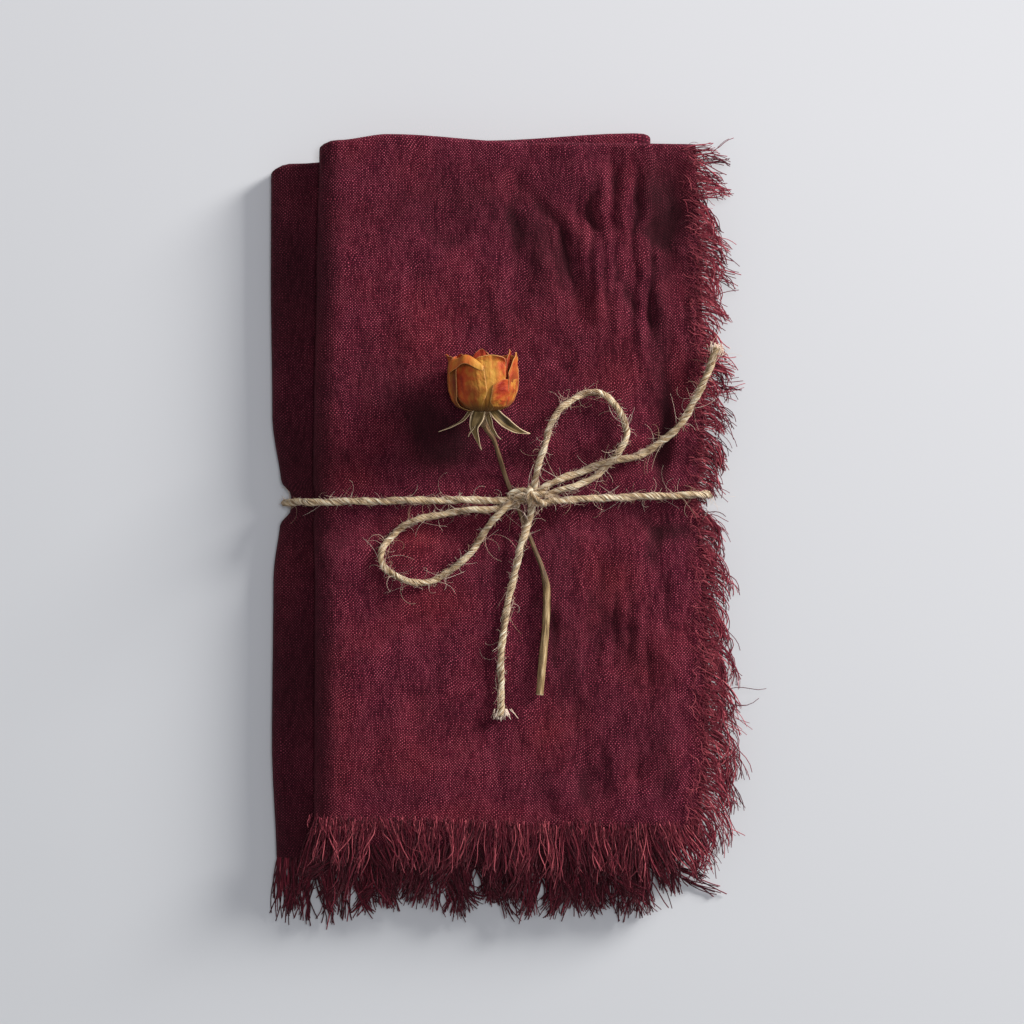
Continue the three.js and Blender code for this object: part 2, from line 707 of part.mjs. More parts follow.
// The stem runs from the calyx under the knot, kinks at a node and ends in a straight cut
const stemRoute = [
  { x: -6.6, y: 29.2, z: 23.6, radius: 0.75 }, { x: -4.2, y: 25.8, z: 20.6, radius: 0.65 },
  { x: -2.8, y: 21.4, z: 17.4, radius: 0.65 }, { x: -0.9, y: 15.2, above: 0.2, radius: 0.65 },
  { x: 0.8, y: 10.6, above: 0, radius: 0.65 }, { x: 2.6, y: 6.4, above: 0, radius: 0.65 },
  { x: 5.2, y: 0.6, above: 0, radius: 0.7 }, { x: 8.2, y: -7.6, above: 0, radius: 0.75 },
  { x: 10.3, y: -14.4, above: 0, radius: 1.0 }, { x: 10.9, y: -17.4, above: 0, radius: 1.35 },
  { x: 10.6, y: -21, above: 0, radius: 1.1 }, { x: 10.2, y: -32, above: 0, radius: 1.1 },
  { x: 9.2, y: -47.9, above: 0, radius: 1.25 },
];
const stemCorners = 7;

function stemSolid() {
  const places = stemRoute.map(({ x, y, z, above, radius }) => (
    z === undefined ? onCloth([x, y, above], radius) : new THREE.Vector3(x, y, z)
  ));
  const curve = new THREE.CatmullRomCurve3(places, false, 'centripetal');
  const steps = places.length - 1;
  const frames = curve.computeFrenetFrames(steps, false);
  const rings = places.map((centre, step) => {
    const ring = [];
    for (let corner = 0; corner < stemCorners; corner += 1) {
      const angle = 2 * Math.PI * corner / stemCorners;
      const point = centre.clone();
      point.addScaledVector(frames.normals[step], stemRoute[step].radius * Math.cos(angle));
      point.addScaledVector(frames.binormals[step], stemRoute[step].radius * Math.sin(angle));
      ring.push(point);
    }
    return ring;
  });
  return tubeFromRings(rings);
}

// The scene graph
function named(name, geometry, look) {
  const mesh = new THREE.Mesh(geometry, new THREE.MeshStandardMaterial({ metalness: 0, ...look }));
  mesh.name = name;
  return mesh;
}

const bundle = new THREE.Group();
bundle.position.set(-boxCentre.x, -boxCentre.y, 0);
const clothGrid = listColumns().map(columnPoints);
bundle.add(named('napkin_cloth', sheetSolid(clothGrid, sheetThickness), colours.cloth));
bundle.add(named('fringe_hem_front', hemFringe(0.5, 'frontHem', 100), colours.fringe));
bundle.add(named('fringe_hem_back', hemFringe(-0.5, 'backHem', 500), colours.fringe));
bundle.add(named('fringe_side_outer', sideFringe(0, 0, 6.5, 900), colours.fringe));
bundle.add(named('fringe_side_inner', sideFringe(1, 4, 0.5, 1300), colours.fringe));
bundle.add(named('twine_band', twineSolid(bandRoute()), colours.twine));
bundle.add(named('twine_loop_right', twineSolid(clothPoints(loopRight, twineRadius)), colours.twine));
bundle.add(named('twine_loop_left', twineSolid(clothPoints(loopLeft, twineRadius)), colours.twine));
bundle.add(named('twine_tail_right', twineSolid(clothPoints(tailRight, twineRadius)), colours.twine));
bundle.add(named('twine_tail_down', twineSolid(clothPoints(tailDown, twineRadius)), colours.twine));
bundle.add(named('twine_knot', knotSolid(), colours.twine));
bundle.add(named('rosebud', budSolid(), colours.petal));
bundle.add(named('sepals', sepalsSolid(), colours.leaf));
bundle.add(named('rose_stem', stemSolid(), colours.stem));

export default bundle;
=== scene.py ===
# %% [markdown]
# # A folded linen napkin, tied with jute round a dried rosebud
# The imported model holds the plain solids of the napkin, its fringes, the twine and the flower.
# This lesson dresses them in the same frame: woven cloth with soft creases, frayed threads,
# two-ply jute with its loose fibres, and petals that have dried and curled. Every shape is worked
# out with numpy in millimetres on the table, then moved into the frame in metres.

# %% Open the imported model
import bpy
import numpy as np
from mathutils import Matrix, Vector


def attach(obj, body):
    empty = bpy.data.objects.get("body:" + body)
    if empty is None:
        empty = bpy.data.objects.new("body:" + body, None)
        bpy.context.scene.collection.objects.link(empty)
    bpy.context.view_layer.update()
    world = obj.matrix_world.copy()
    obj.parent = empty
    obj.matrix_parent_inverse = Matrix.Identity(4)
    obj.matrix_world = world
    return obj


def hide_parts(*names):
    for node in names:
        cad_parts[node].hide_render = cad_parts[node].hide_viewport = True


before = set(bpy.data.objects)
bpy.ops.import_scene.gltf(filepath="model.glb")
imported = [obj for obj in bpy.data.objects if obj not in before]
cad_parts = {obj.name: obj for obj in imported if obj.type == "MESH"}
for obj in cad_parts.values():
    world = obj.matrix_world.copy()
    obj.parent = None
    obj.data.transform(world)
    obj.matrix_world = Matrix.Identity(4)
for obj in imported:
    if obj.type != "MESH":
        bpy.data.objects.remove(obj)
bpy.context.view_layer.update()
MM = 0.001
BOX_CENTRE = np.array([0.95, 0.4, 0.0])
print("nodes to dress:", len(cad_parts))

# %% [markdown]
# ## The camera
# The napkin is seen from straight above. A long lens a metre up keeps the folds' sides out of
# sight, as they are from there, so the width of the view sets the lens.

# %% Place the camera
VIEW_CENTRE = (0.2, 4.2)
VIEW_WIDTH = 292.6
VIEW_LEVEL = 15.0
CAMERA_HEIGHT = 1100.0
SENSOR = 36.0
FARTHEST = 20.0


def new_object(name, data):
    """Puts an object into the scene, at the origin and unturned."""
    made = bpy.data.objects.new(name, data)
    bpy.context.scene.collection.objects.link(made)
    return made


lens = bpy.data.cameras.new("overhead")
lens.sensor_width = SENSOR
lens.lens = SENSOR * (CAMERA_HEIGHT - VIEW_LEVEL) / VIEW_WIDTH
lens.clip_end = FARTHEST
camera = new_object("overhead", lens)
camera.location = (VIEW_CENTRE[0] * MM, VIEW_CENTRE[1] * MM, CAMERA_HEIGHT * MM)
bpy.context.scene.camera = camera
print("lens", round(lens.lens, 1), "mm")

# %% [markdown]
# ## How high the folded layers lie
# The cloth is doubled over at the top and folded to and fro, so there are eight layers. Their
# heights follow one rule: a step for each layer, pressed closer under the twine and at the
# frayed end, and lifted where the twine passes below. Everything else rests on these heights.

# %% Rules for heights
SHEET = 1.0
TOP_LEVEL = 7
GROOVE = {"y": 8.6, "slope": 0.019, "middle": 7.0, "flat": 2.2, "lift": 11.0, "squeeze": 17.0}
LIFT = 2.8
LOOSE_STEP = 2.0
TIED_STEP = 1.35
FRINGE_ZONE = {"start": 82.0, "end": 112.0, "squeeze": 0.47}
DROOP = {"start": 43.0, "rate": 0.0011, "straight": 14.0, "lowest": 5.2}
SWELLS = np.array([
    # x, y, half size across, half size along, turn in degrees, height
    (46, 87, 6, 10, 0, -1.5), (43, 33, 5, 22, 0, -1.3), (10, 88, 5, 16, 35, -1.0),
    (-18, 95, 14, 6, 0, -0.9), (32, -32, 7, 11, 0, -1.1), (18, -25, 5, 24, 0, -0.8),
    (24, -72, 6, 13, 0, -1.2), (-28, 50, 20, 26, 0, 0.9), (-26, -38, 20, 28, 0, 0.8),
    (26, 66, 9, 18, 0, 0.8),
])


def smooth(value, start, end):
    """An S-shaped rise from 0 at start to 1 at end: share squared times (3 - 2 share)."""
    share = np.clip((value - start) / (end - start), 0, 1)
    return share * share * (3 - 2 * share)


def tie_line(x):
    """The twine crosses the bundle on a nearly level line: y plus a small slope times x."""
    return GROOVE["y"] + GROOVE["slope"] * (x - GROOVE["middle"])


def patches(x, y, rows):
    """A sum of soft round patches: each is amount exp(-across squared - along squared)."""
    total = np.zeros(np.broadcast(x, y).shape)
    for centre_x, centre_y, wide, long, turn, amount in rows:
        angle = np.radians(turn)
        dx, dy = x - centre_x, y - centre_y
        across = (dx * np.cos(angle) + dy * np.sin(angle)) / wide
        along = (dy * np.cos(angle) - dx * np.sin(angle)) / long
        total = total + amount * np.exp(-across ** 2 - along ** 2)
    return total


def step_at(x, y):
    """The rise from layer to layer: loose away from the twine, tied under it."""
    loose = LOOSE_STEP + patches(x, y, SWELLS) / TOP_LEVEL
    share = smooth(np.abs(y - tie_line(x)), GROOVE["flat"], GROOVE["squeeze"])
    pressed = FRINGE_ZONE["squeeze"] * smooth(-y, FRINGE_ZONE["start"], FRINGE_ZONE["end"])
    return (TIED_STEP + (loose - TIED_STEP) * share) * (1 - pressed)


def droop_at(x, level):
    """The top panel bends down past the layers below it, first in a curve, then straight."""
    past = np.maximum(0, x - DROOP["start"])
    bent = np.minimum(past, DROOP["straight"])
    return np.where(level < DROOP["lowest"], 0, DROOP["rate"] * bent * (2 * past - bent))


def height_at(x, y, level):
    """Half a sheet, plus the lift over the twine, plus step times level less its droop."""
    away = np.abs(y - tie_line(x))
    lift = LIFT * (1 - smooth(away, GROOVE["flat"], GROOVE["lift"]))
    return SHEET / 2 + lift + step_at(x, y) * level * (1 - droop_at(x, level))


print("top layer at the middle:", height_at(0.0, 60.0, TOP_LEVEL).round(2), "mm")

# %% [markdown]
# ## Creases
# Washed linen keeps the marks of its folding: long shallow troughs where it was pulled by the
# twine, short slanting ones near the top, a pulled thread near the frayed side. Each is a soft
# trough or ridge along a given line, and a faint crumple of many crossing waves lies
# under them all. They are heights added to the two layers of the top panel.

# %% Crease heights
CREASES = np.array([
    # from x, y, to x, y, width, height: troughs are below 0 and ridges above
    (2.6, 100, 1.4, 72, 2.6, -0.50), (3.7, 99, 14.9, 85, 1.8, -0.36),
    (11, 96, 18.8, 68, 1.8, -0.26), (22, 96, 27, 82, 1.9, -0.55),
    (24.6, 105, 24.2, 90, 1.8, -0.45), (30.2, 106, 30.0, 90, 1.9, -0.60),
    (36.6, 106, 36.4, 81, 2.0, -0.60), (27.2, 104, 27.4, 84, 1.7, 0.40),
    (33.4, 104, 33.2, 80, 1.7, 0.45), (39.5, 103, 40.5, 88, 2.0, 0.35),
    (46, 94, 45, 77, 5.0, -0.75), (52, 92, 51, 80, 2.4, 0.40), (34.9, 76, 34.8, 55, 1.8, -0.45),
    (40.6, 74, 40.0, 50, 2.0, -0.45), (37.9, 76, 37.5, 52, 1.8, 0.40),
    (46, 56, 43.5, -2, 2.6, -0.50), (42.6, 72, 42.6, 54, 1.8, 0.30),
    (52.9, 72, 52.9, 50, 0.5, 0.30), (-1.5, 66, -1, 48, 3.0, 0.30), (8, 84, 12, 70, 2.2, 0.35),
    (17.5, 92, 22, 76, 2.0, 0.35), (-30, 86, -8, 82, 4.5, -0.45), (-30, 77, -12, 74, 5.0, 0.35),
    (-24, 68, -29, 40, 5.0, 0.30), (-38, 66, -42, 36, 4.0, -0.25), (31, -22, 37, -42, 2.8, -0.30),
    (22, -64, 23, -88, 2.4, -0.36), (12, 0, 10.5, -50, 3.0, -0.35), (27, -4, 25, -48, 2.6, -0.35),
    (20, -10, 18, -60, 3.0, 0.30), (36, -6, 37, -60, 3.2, 0.25), (-20, -30, -26, -70, 4.5, -0.30),
    (-40, -20, -44, -60, 4.0, 0.25), (38, 4, 44, -14, 3.2, -0.65), (32, 13, 27, 28, 2.6, -0.25),
    (44, 13, 45, 30, 2.4, -0.55), (-12, 2, -8, -12, 3.0, -0.30), (-46, 4, -50, -12, 3.2, -0.30),
    (-46, 13, -49, 28, 3.0, -0.30), (-4, 100, -10, 84, 2.6, 0.25), (-48, 88, -50, 60, 3.5, -0.25),
    (14, -68, 16, -84, 2.2, 0.25), (-34, -78, -20, -80, 3.5, -0.25),
    (44, -60, 46, -82, 2.6, -0.35), (40, -64, 41, -84, 2.0, 0.25),
    (20.5, 104, 19.5, 70, 1.3, -0.34), (23.4, 100, 24.0, 62, 1.2, -0.34),
    (27.0, 84, 28.5, 56, 1.2, -0.38), (30.2, 88, 30.6, 60, 1.2, -0.36),
    (33.2, 82, 32.0, 50, 1.2, -0.30), (36.0, 84, 37.0, 46, 1.2, -0.36),
    (41.5, 88, 41.0, 60, 1.2, -0.36), (25.6, 78, 26.2, 50, 1.2, 0.28),
    (31.8, 74, 31.4, 46, 1.2, 0.28), (39.0, 70, 38.6, 36, 1.4, 0.20),
    (15.0, 90, 19.5, 64, 1.4, -0.30), (11.5, 84, 16.8, 60, 1.4, -0.25),
    (34, -6, 35.5, -44, 1.3, -0.32), (30, -10, 31, -50, 1.2, -0.28),
    (39.5, -20, 40.5, -62, 1.3, -0.32), (23, -10, 22, -46, 1.3, -0.30),
    (14, -14, 13, -48, 1.2, -0.28), (45, -10, 46, -44, 1.4, -0.28),
    (18, -40, 19.5, -74, 1.4, -0.22), (28, -52, 27, -80, 1.5, -0.25),
    (36, -54, 37, -84, 1.4, -0.22), (8, -10, 7, -40, 1.4, -0.18), (-4, -52, -2, -80, 1.8, -0.16),
    (-16, 100, -14, 88, 1.6, -0.20),
])


def along_line(x, y, x0, y0, x1, y1):
    """Distance along a line from its start, distance across it, and its length."""
    ahead = np.array([x1 - x0, y1 - y0])
    length = np.hypot(*ahead)
    ahead = ahead / length
    return ((x - x0) * ahead[0] + (y - y0) * ahead[1],
            (x - x0) * ahead[1] - (y - y0) * ahead[0], length)


CREASE_DEPTH = 2.0
WANDER = ((0.35, 4.1), (0.25, 1.9))


def crease_height(x, y):
    """Each crease is height exp(-(distance / width) squared), where distance is to its line;
    both height and width lessen towards its ends. The line wanders by two waves, each of a
    share of the width and a pace in mm for a radian."""
    total = np.zeros(x.shape)
    for x0, y0, x1, y1, width, height in CREASES:
        along, across, length = along_line(x, y, x0, y0, x1, y1)
        for (share, pace), phase in zip(WANDER, (x0, y0)):
            across = across + share * width * np.sin(along / pace + phase)
        past = np.maximum(0, np.maximum(-along, along - length))
        fade = 0.65 + 0.35 * np.cos(np.pi * np.clip(2 * along / length - 1, -1, 1))
        narrow = width * (0.4 + 0.6 * fade)
        total += height * fade * np.exp(-(across / narrow) ** 2 - (past / (2.6 * width)) ** 2)
    return CREASE_DEPTH * total


CRUMPLE_DEPTH = 0.30
CRUMPLE_WAVES = 46
CRUMPLE_PITCH = (4.5, 24)
CRUMPLE_SEED = 5


def crumple_height(x, y):
    """A sum of crossing waves of many pitches, mostly with their crests up the cloth; each is
    bowed and comes and goes up the cloth."""
    rng = np.random.default_rng(CRUMPLE_SEED)
    total = np.zeros(x.shape)
    for _ in range(CRUMPLE_WAVES):
        pitch = rng.uniform(*CRUMPLE_PITCH)
        turn = rng.normal(0, 0.6)
        phase = rng.uniform(0, 2 * np.pi)
        bow = 0.9 * np.sin(y / rng.uniform(8, 26) + phase)
        wave = np.sin(2 * np.pi * (x * np.cos(turn) + y * np.sin(turn)) / pitch + phase + bow)
        total += pitch * wave * (0.6 + 0.4 * np.sin(y / rng.uniform(9, 30) + 3 * phase))
    return total / CRUMPLE_WAVES


PUCKER = {"height": 0.3, "away": 3.6, "width": 1.9}


def top_relief(x, y):
    """Creases plus crumple, faded out at the folds and pressed flat under the twine, and a low
    uneven pucker beside it."""
    crumple = CRUMPLE_DEPTH * crumple_height(x, y) * (0.4 + 0.6 * smooth(x, -30, 15))
    away = np.abs(y - tie_line(x))
    tied = smooth(away, 1.0, 4.5)
    pucker = PUCKER["height"] * np.exp(-((away - PUCKER["away"]) / PUCKER["width"]) ** 2)
    pucker = pucker * (0.5 + 0.5 * np.sin(x / 2.3 + 1.5 * np.sin(x / 7.1)))
    return (crease_height(x, y) + crumple) * tied + pucker


# %% Painted shade and redder places
# Painted shade: the rows at (-23, 31) and (-16, 24) paint the bud's shadow on the cloth; the
# others paint shade in dips, along creases and over broader stretches.
SHADE_PATCHES = np.array([
    # x, y, half size across, half size along, turn, amount
    (28, 55, 24, 44, 0, 0.14), (32, -48, 24, 30, 0, 0.14), (46, 91, 6.5, 15, 6, 0.85),
    (41, 96, 2.6, 10, 0, 0.4), (-23, 31, 9, 9.5, 0, 1.0), (-16, 24, 8.5, 6, 30, 0.8),
    (-22, 94, 20, 6, 8, 0.3), (-2, 90, 14, 6, -24, 0.3), (12, 84, 16, 22, 0, 0.16),
    (8, 78, 4, 13, 0, 0.3), (15, 76, 4, 12, 25, 0.4), (43, 56, 3.4, 17, 0, 0.5),
    (45, 30, 3.4, 14, 0, 0.4), (48, -1, 6, 3, 0, 0.85), (39, 3, 5, 3, 0, 0.3),
    (34, -33, 4.5, 14, 10, 0.25), (22, -74, 5, 13, 0, 0.28), (16, -8, 4.5, 11, 0, 0.3),
    (17, -38, 5, 15, 0, 0.35), (-33, -2, 3, 10, 0, 0.25), (-3, -9, 6, 7, 0, 0.3),
    (-36, 41, 9, 10, 0, 0.35), (-24, 20, 15, 6, 0, 0.25), (4, 24, 7, 10, 0, 0.25),
    (-40, -72, 9, 10, 0, 0.2), (8, -74, 5, 12, 0, 0.2), (44, -64, 4, 18, 0, 0.25),
    (52, 60, 2.4, 30, 0, 0.3), (-2, 60, 6, 8, 0, 0.2),
])
RED_PATCHES = np.array([
    (-26, 52, 10, 12, 0, 0.35), (-27, -4, 8, 7, 0, 0.6), (-23, -22, 9, 8, 0, 0.45),
    (31, 44, 8, 9, 0, 0.4), (24, 63, 9, 7, 0, 0.3), (49, 40, 5, 12, 0, 0.35),
    (30, -14, 9, 7, 0, 0.4), (10, -60, 9, 8, 0, 0.3), (-30, -64, 14, 9, 0, 0.3),
    (42, -38, 8, 12, 0, 0.3), (-10, -82, 26, 4, 0, 0.3), (36, 101, 8, 5, 0, 0.25),
    (-44, 14, 8, 4, 0, 0.4), (-48, -50, 5, 30, 0, 0.15),
])

# Painted shade on the rounded left fold, which faces away from the lamp, and in crease floors.
LEFT_FOLD_SHADE = 0.85
FLOOR_SHADE = 0.6


def painted_shade(x, y):
    """Painted shade: the patches, the shaded side of the rounded fold on the left, and the floors
    of the creases.
    """
    fold = LEFT_FOLD_SHADE * (1 - smooth(x, -55.5, -45)) * (0.85 + 0.15 * np.sin(y / 9))
    floors = smooth(-crease_height(x, y), 0.15, 1.1)
    return np.clip(patches(x, y, SHADE_PATCHES) + fold + FLOOR_SHADE * floors, 0, 1)


# %% [markdown]
# ## Meshes from arrays
# A tube is a ring of corners carried along a path, and a sheet is a grid. Both come down to one
# pattern of four-sided faces, and the ends of a tube are closed with one face each. The corners
# run anticlockwise as seen from outside, so that every face points outwards.

# %% Grids, tubes and pieces
def unit(vectors):
    """Each vector divided by its own length."""
    return vectors / np.maximum(np.linalg.norm(vectors, axis=-1, keepdims=True), 1e-9)


def tube_faces(tubes, stations, corners):
    """Faces of tubes whose points are numbered by tube, then station, then corner."""
    number = np.arange(tubes * stations * corners).reshape(tubes, stations, corners)
    beside = np.roll(number, -1, axis=2)
    walls = np.stack([number[:, :-1], beside[:, :-1], beside[:, 1:], number[:, 1:]], axis=-1)
    return [walls.reshape(-1, 4), number[:, 0, ::-1], number[:, -1]]


def sheet_faces(columns, rows):
    """Faces of a grid numbered by column, then row; they face column direction x row direction."""
    number = np.arange(columns * rows).reshape(columns, rows)
    corners = [number[:-1, :-1], number[1:, :-1], number[1:, 1:], number[:-1, 1:]]
    return [np.stack(corners, axis=-1).reshape(-1, 4)]


def make_mesh(name, points, faces, uv, numbers):
    """A mesh from arrays. place = (point - box centre) / 1000; numbers are kept per point."""
    place = (np.asarray(points, float).reshape(-1, 3) - BOX_CENTRE) * MM
    corners = np.concatenate([part.ravel() for part in faces])
    sizes = np.concatenate([np.full(len(part), part.shape[1]) for part in faces])
    mesh = bpy.data.meshes.new(name)
    mesh.vertices.add(len(place))
    mesh.vertices.foreach_set("co", place.astype(np.float32).ravel())
    mesh.loops.add(len(corners))
    mesh.loops.foreach_set("vertex_index", corners.astype(np.int32))
    mesh.polygons.add(len(sizes))
    mesh.polygons.foreach_set("loop_start", (np.cumsum(sizes) - sizes).astype(np.int32))
    mesh.polygons.foreach_set("use_smooth", np.ones(len(sizes), bool))
    if uv is not None:
        layer = mesh.uv_layers.new(name="UVMap")
        layer.data.foreach_set("uv", uv.reshape(-1, 2)[corners].astype(np.float32).ravel())
    for key, values in numbers.items():
        kind, field = ("FLOAT_VECTOR", "vector") if values.ndim > 1 else ("FLOAT", "value")
        attribute = mesh.attributes.new(key, kind, "POINT")
        attribute.data.foreach_set(field, values.astype(np.float32).ravel())
    mesh.update(calc_edges=True)
    mesh.validate()
    print(name, "has", int((sizes - 2).sum()), "triangles")
    return mesh


def add_piece(name, part, material, replaced=(), uv=None):
    """A piece from a part, which is its points, its faces and its numbers."""
    points, faces, numbers = part
    mesh = make_mesh(name, points, faces, uv, numbers)
    mesh.materials.append(material)
    piece = new_object(name, mesh)
    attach(piece, "root")
    if replaced:
        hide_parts(*replaced)
    return piece


def join_parts(parts):
    """Stacks the points, faces and numbers of several parts as one part."""
    starts = np.cumsum([0] + [len(points) for points, _, _ in parts])
    faces = [face + start for (_, found, _), start in zip(parts, starts) for face in found]
    numbers = {key: np.concatenate([part[2][key] for part in parts]) for key in parts[0][2]}
    return np.vstack([points for points, _, _ in parts]), faces, numbers


def thicken(piece, thickness, offset=0.0):
    """Gives a sheet its thickness in mm, half on each side or, at offset -1, all behind it."""
    modifier = piece.modifiers.new("thickness", "SOLIDIFY")
    modifier.thickness = thickness * MM
    modifier.offset = offset


# %% [markdown]
# ## Routes
# A length of twine is laid down by a few points. A Catmull-Rom curve runs through them, with its
# knots spaced by the square root of each gap, which keeps it from overshooting at tight turns.
# The curve is then marked off in even steps, so that the twist is even too.

# %% Smooth routes
BLEND_STEPS = 40


def distance_along(lines):
    """Distance walked to each point of a line, or of each line in an array of lines."""
    steps = np.diff(lines, axis=-2, prepend=lines[..., :1, :])
    return np.linalg.norm(steps, axis=-1).cumsum(axis=-1)


def smooth_route(points, spacing):
    """A centripetal Catmull-Rom curve by the pyramid of blends, in even steps of length."""
    points = np.asarray(points, float)
    whole = np.vstack([2 * points[0] - points[1], points, 2 * points[-1] - points[-2]])
    gaps = np.sqrt(np.maximum(np.linalg.norm(np.diff(whole, axis=0), axis=1), 1e-6))
    knots = np.concatenate([[0], np.cumsum(gaps)])
    t0, t1, t2, t3 = (knots[shift:len(knots) - 3 + shift, None] for shift in range(4))
    p0, p1, p2, p3 = (whole[shift:len(whole) - 3 + shift, None] for shift in range(4))
    at = t1 + (t2 - t1) * np.linspace(0, 1, BLEND_STEPS, endpoint=False)

    def blend(low, high, start, end):
        share = ((at - start) / (end - start))[..., None]
        return low + (high - low) * share

    first, second, third = blend(p0, p1, t0, t1), blend(p1, p2, t1, t2), blend(p2, p3, t2, t3)
    curve = blend(blend(first, second, t0, t2), blend(second, third, t1, t3), t1, t2)
    line = np.vstack([curve.reshape(-1, 3), points[-1]])
    length = distance_along(line)
    even = np.linspace(0, length[-1], max(3, int(round(length[-1] / spacing)) + 1))
    return np.stack([np.interp(even, length, line[:, axis]) for axis in range(3)], axis=1), even


def frame_along(line, reference):
    """Two directions across a line: side = reference x ahead, and up = ahead x side."""
    ahead = unit(np.gradient(line, axis=-2))
    side = unit(np.cross(np.broadcast_to(reference, ahead.shape), ahead))
    return ahead, side, np.cross(ahead, side)


def ring(corners):
    """Even angles round a circle."""
    return 2 * np.pi * np.arange(corners) / corners


def circle(angle, side, up):
    """A direction across a line: cos(angle) side + sin(angle) up."""
    return np.cos(angle)[..., None] * side + np.sin(angle)[..., None] * up


UPWARDS = np.array([0.0, 0.0, 1.0])
ALONG_NAPKIN = np.array([0.0, 1.0, 0.0])

# %% [markdown]
# ## Small helpers for materials
# A material here is a chain of nodes: some pattern, a few sums, a ramp or mix of colours, and a
# bump. These helpers add one node each and hand back its output, so that a recipe reads like a
# sentence. Colours are named by their red, green and blue as seen on a screen.

# %% Shader helpers
def paint(red, green, blue):
    """Screen values from 0 to 255 as linear light: ((c + 0.055) / 1.055) to the power 2.4."""
    share = np.array([red, green, blue]) / 255
    linear = np.where(share > 0.04045, ((share + 0.055) / 1.055) ** 2.4, share / 12.92)
    return (*linear.tolist(), 1.0)


def put(tree, socket, value):
    """Sets a socket to a number, or links it to another node's output."""
    if isinstance(value, bpy.types.NodeSocket):
        tree.links.new(value, socket)
    else:
        socket.default_value = value


def work_out(tree, operation, *values):
    """One sum, with a number or another output for each value."""
    node = tree.nodes.new("ShaderNodeMath")
    node.operation = operation
    for socket, value in zip(node.inputs, values):
        put(tree, socket, value)
    return node.outputs[0]


def spread(tree, value, low, high, start=0.0, end=1.0):
    """Stretches low to high out to start to end, and stops there."""
    node = tree.nodes.new("ShaderNodeMapRange")
    for name, setting in (("Value", value), ("From Min", low), ("From Max", high),
                          ("To Min", start), ("To Max", end)):
        put(tree, node.inputs[name], setting)
    return node.outputs[0]


def clouds(tree, place, size, detail=2.0, stretch=(1, 1, 1)):
    """Noise whose lumps are about size metres, longer where stretch is below 1."""
    mapping = tree.nodes.new("ShaderNodeMapping")
    mapping.inputs["Scale"].default_value = stretch
    put(tree, mapping.inputs["Vector"], place)
    node = tree.nodes.new("ShaderNodeTexNoise")
    node.inputs["Scale"].default_value = 1 / size
    node.inputs["Detail"].default_value = detail
    tree.links.new(mapping.outputs[0], node.inputs["Vector"])
    return node.outputs[0]


def mix(tree, share, low, high, kind="MIX"):
    """Colour low where share is 0, and colour high where it is 1."""
    node = tree.nodes.new("ShaderNodeMix")
    node.data_type = "RGBA"
    node.blend_type = kind
    put(tree, node.inputs[0], share)
    put(tree, node.inputs[6], low)
    put(tree, node.inputs[7], high)
    return node.outputs[2]


def ramp(tree, value, *stops):
    """Colours at given places between 0 and 1, blended in between."""
    node = tree.nodes.new("ShaderNodeValToRGB")
    while len(node.color_ramp.elements) < len(stops):
        node.color_ramp.elements.new(0.5)
    for element, (position, colour) in zip(node.color_ramp.elements, stops):
        element.position = position
        element.color = colour
    put(tree, node.inputs[0], value)
    return node.outputs[0]


def kept(tree, name, output="Fac"):
    """The number, or with Vector the position, that each point of the mesh keeps by name."""
    node = tree.nodes.new("ShaderNodeAttribute")
    node.attribute_name = name
    return node.outputs[output]


def new_material(name, roughness, gloss, sheen=0.0, tint=(1, 1, 1, 1)):
    """A material whose shader has its finish set: roughness, gloss, and a tinted soft sheen."""
    material = bpy.data.materials.new(name)
    material.use_nodes = True
    tree = material.node_tree
    shader = tree.nodes["Principled BSDF"]
    for socket, value in (("Roughness", roughness), ("Specular IOR Level", gloss),
                          ("Sheen Weight", sheen), ("Sheen Roughness", 0.5),
                          ("Sheen Tint", tint)):
        shader.inputs[socket].default_value = value
    return material, tree, shader


def raise_surface(tree, shader, height, depth):
    """A bump node: height from 0 to 1 stands for depth metres."""
    node = tree.nodes.new("ShaderNodeBump")
    node.inputs["Strength"].default_value = 1.0
    node.inputs["Distance"].default_value = depth
    put(tree, node.inputs["Height"], height)
    tree.links.new(node.outputs[0], shader.inputs["Normal"])


def new_group(name, size, outputs):
    """A node group that takes a place and a size in metres, and gives numbers."""
    group = bpy.data.node_groups.new(name, "ShaderNodeTree")
    sockets = [("Place", "INPUT", "Vector"), (size, "INPUT", "Float")]
    sockets += [(output, "OUTPUT", "Float") for output in outputs]
    for socket, direction, kind in sockets:
        group.interface.new_socket(socket, in_out=direction, socket_type="NodeSocket" + kind)
    return group, group.nodes.new("NodeGroupInput"), group.nodes.new("NodeGroupOutput")


def use_group(tree, group, place, size, metres):
    """Puts a group into a material, with its place linked and its size set."""
    node = tree.nodes.new("ShaderNodeGroup")
    node.node_tree = group
    node.inputs[size].default_value = metres
    tree.links.new(place, node.inputs["Place"])
    return node.outputs


# %% [markdown]
# ## Fibres, shared by twine, threads and stem
# Jute, flax and a dry stem all look streaked along their length. The streaks are noise pulled
# out along one axis of a position that the mesh keeps for each point, so they turn with the
# twist. The group gives a fine and a coarse streak, and each material colours them its own way.

# %% The fibre group
STREAKS = {"Fine": (1.0, 0.05), "Coarse": (0.4, 0.12)}


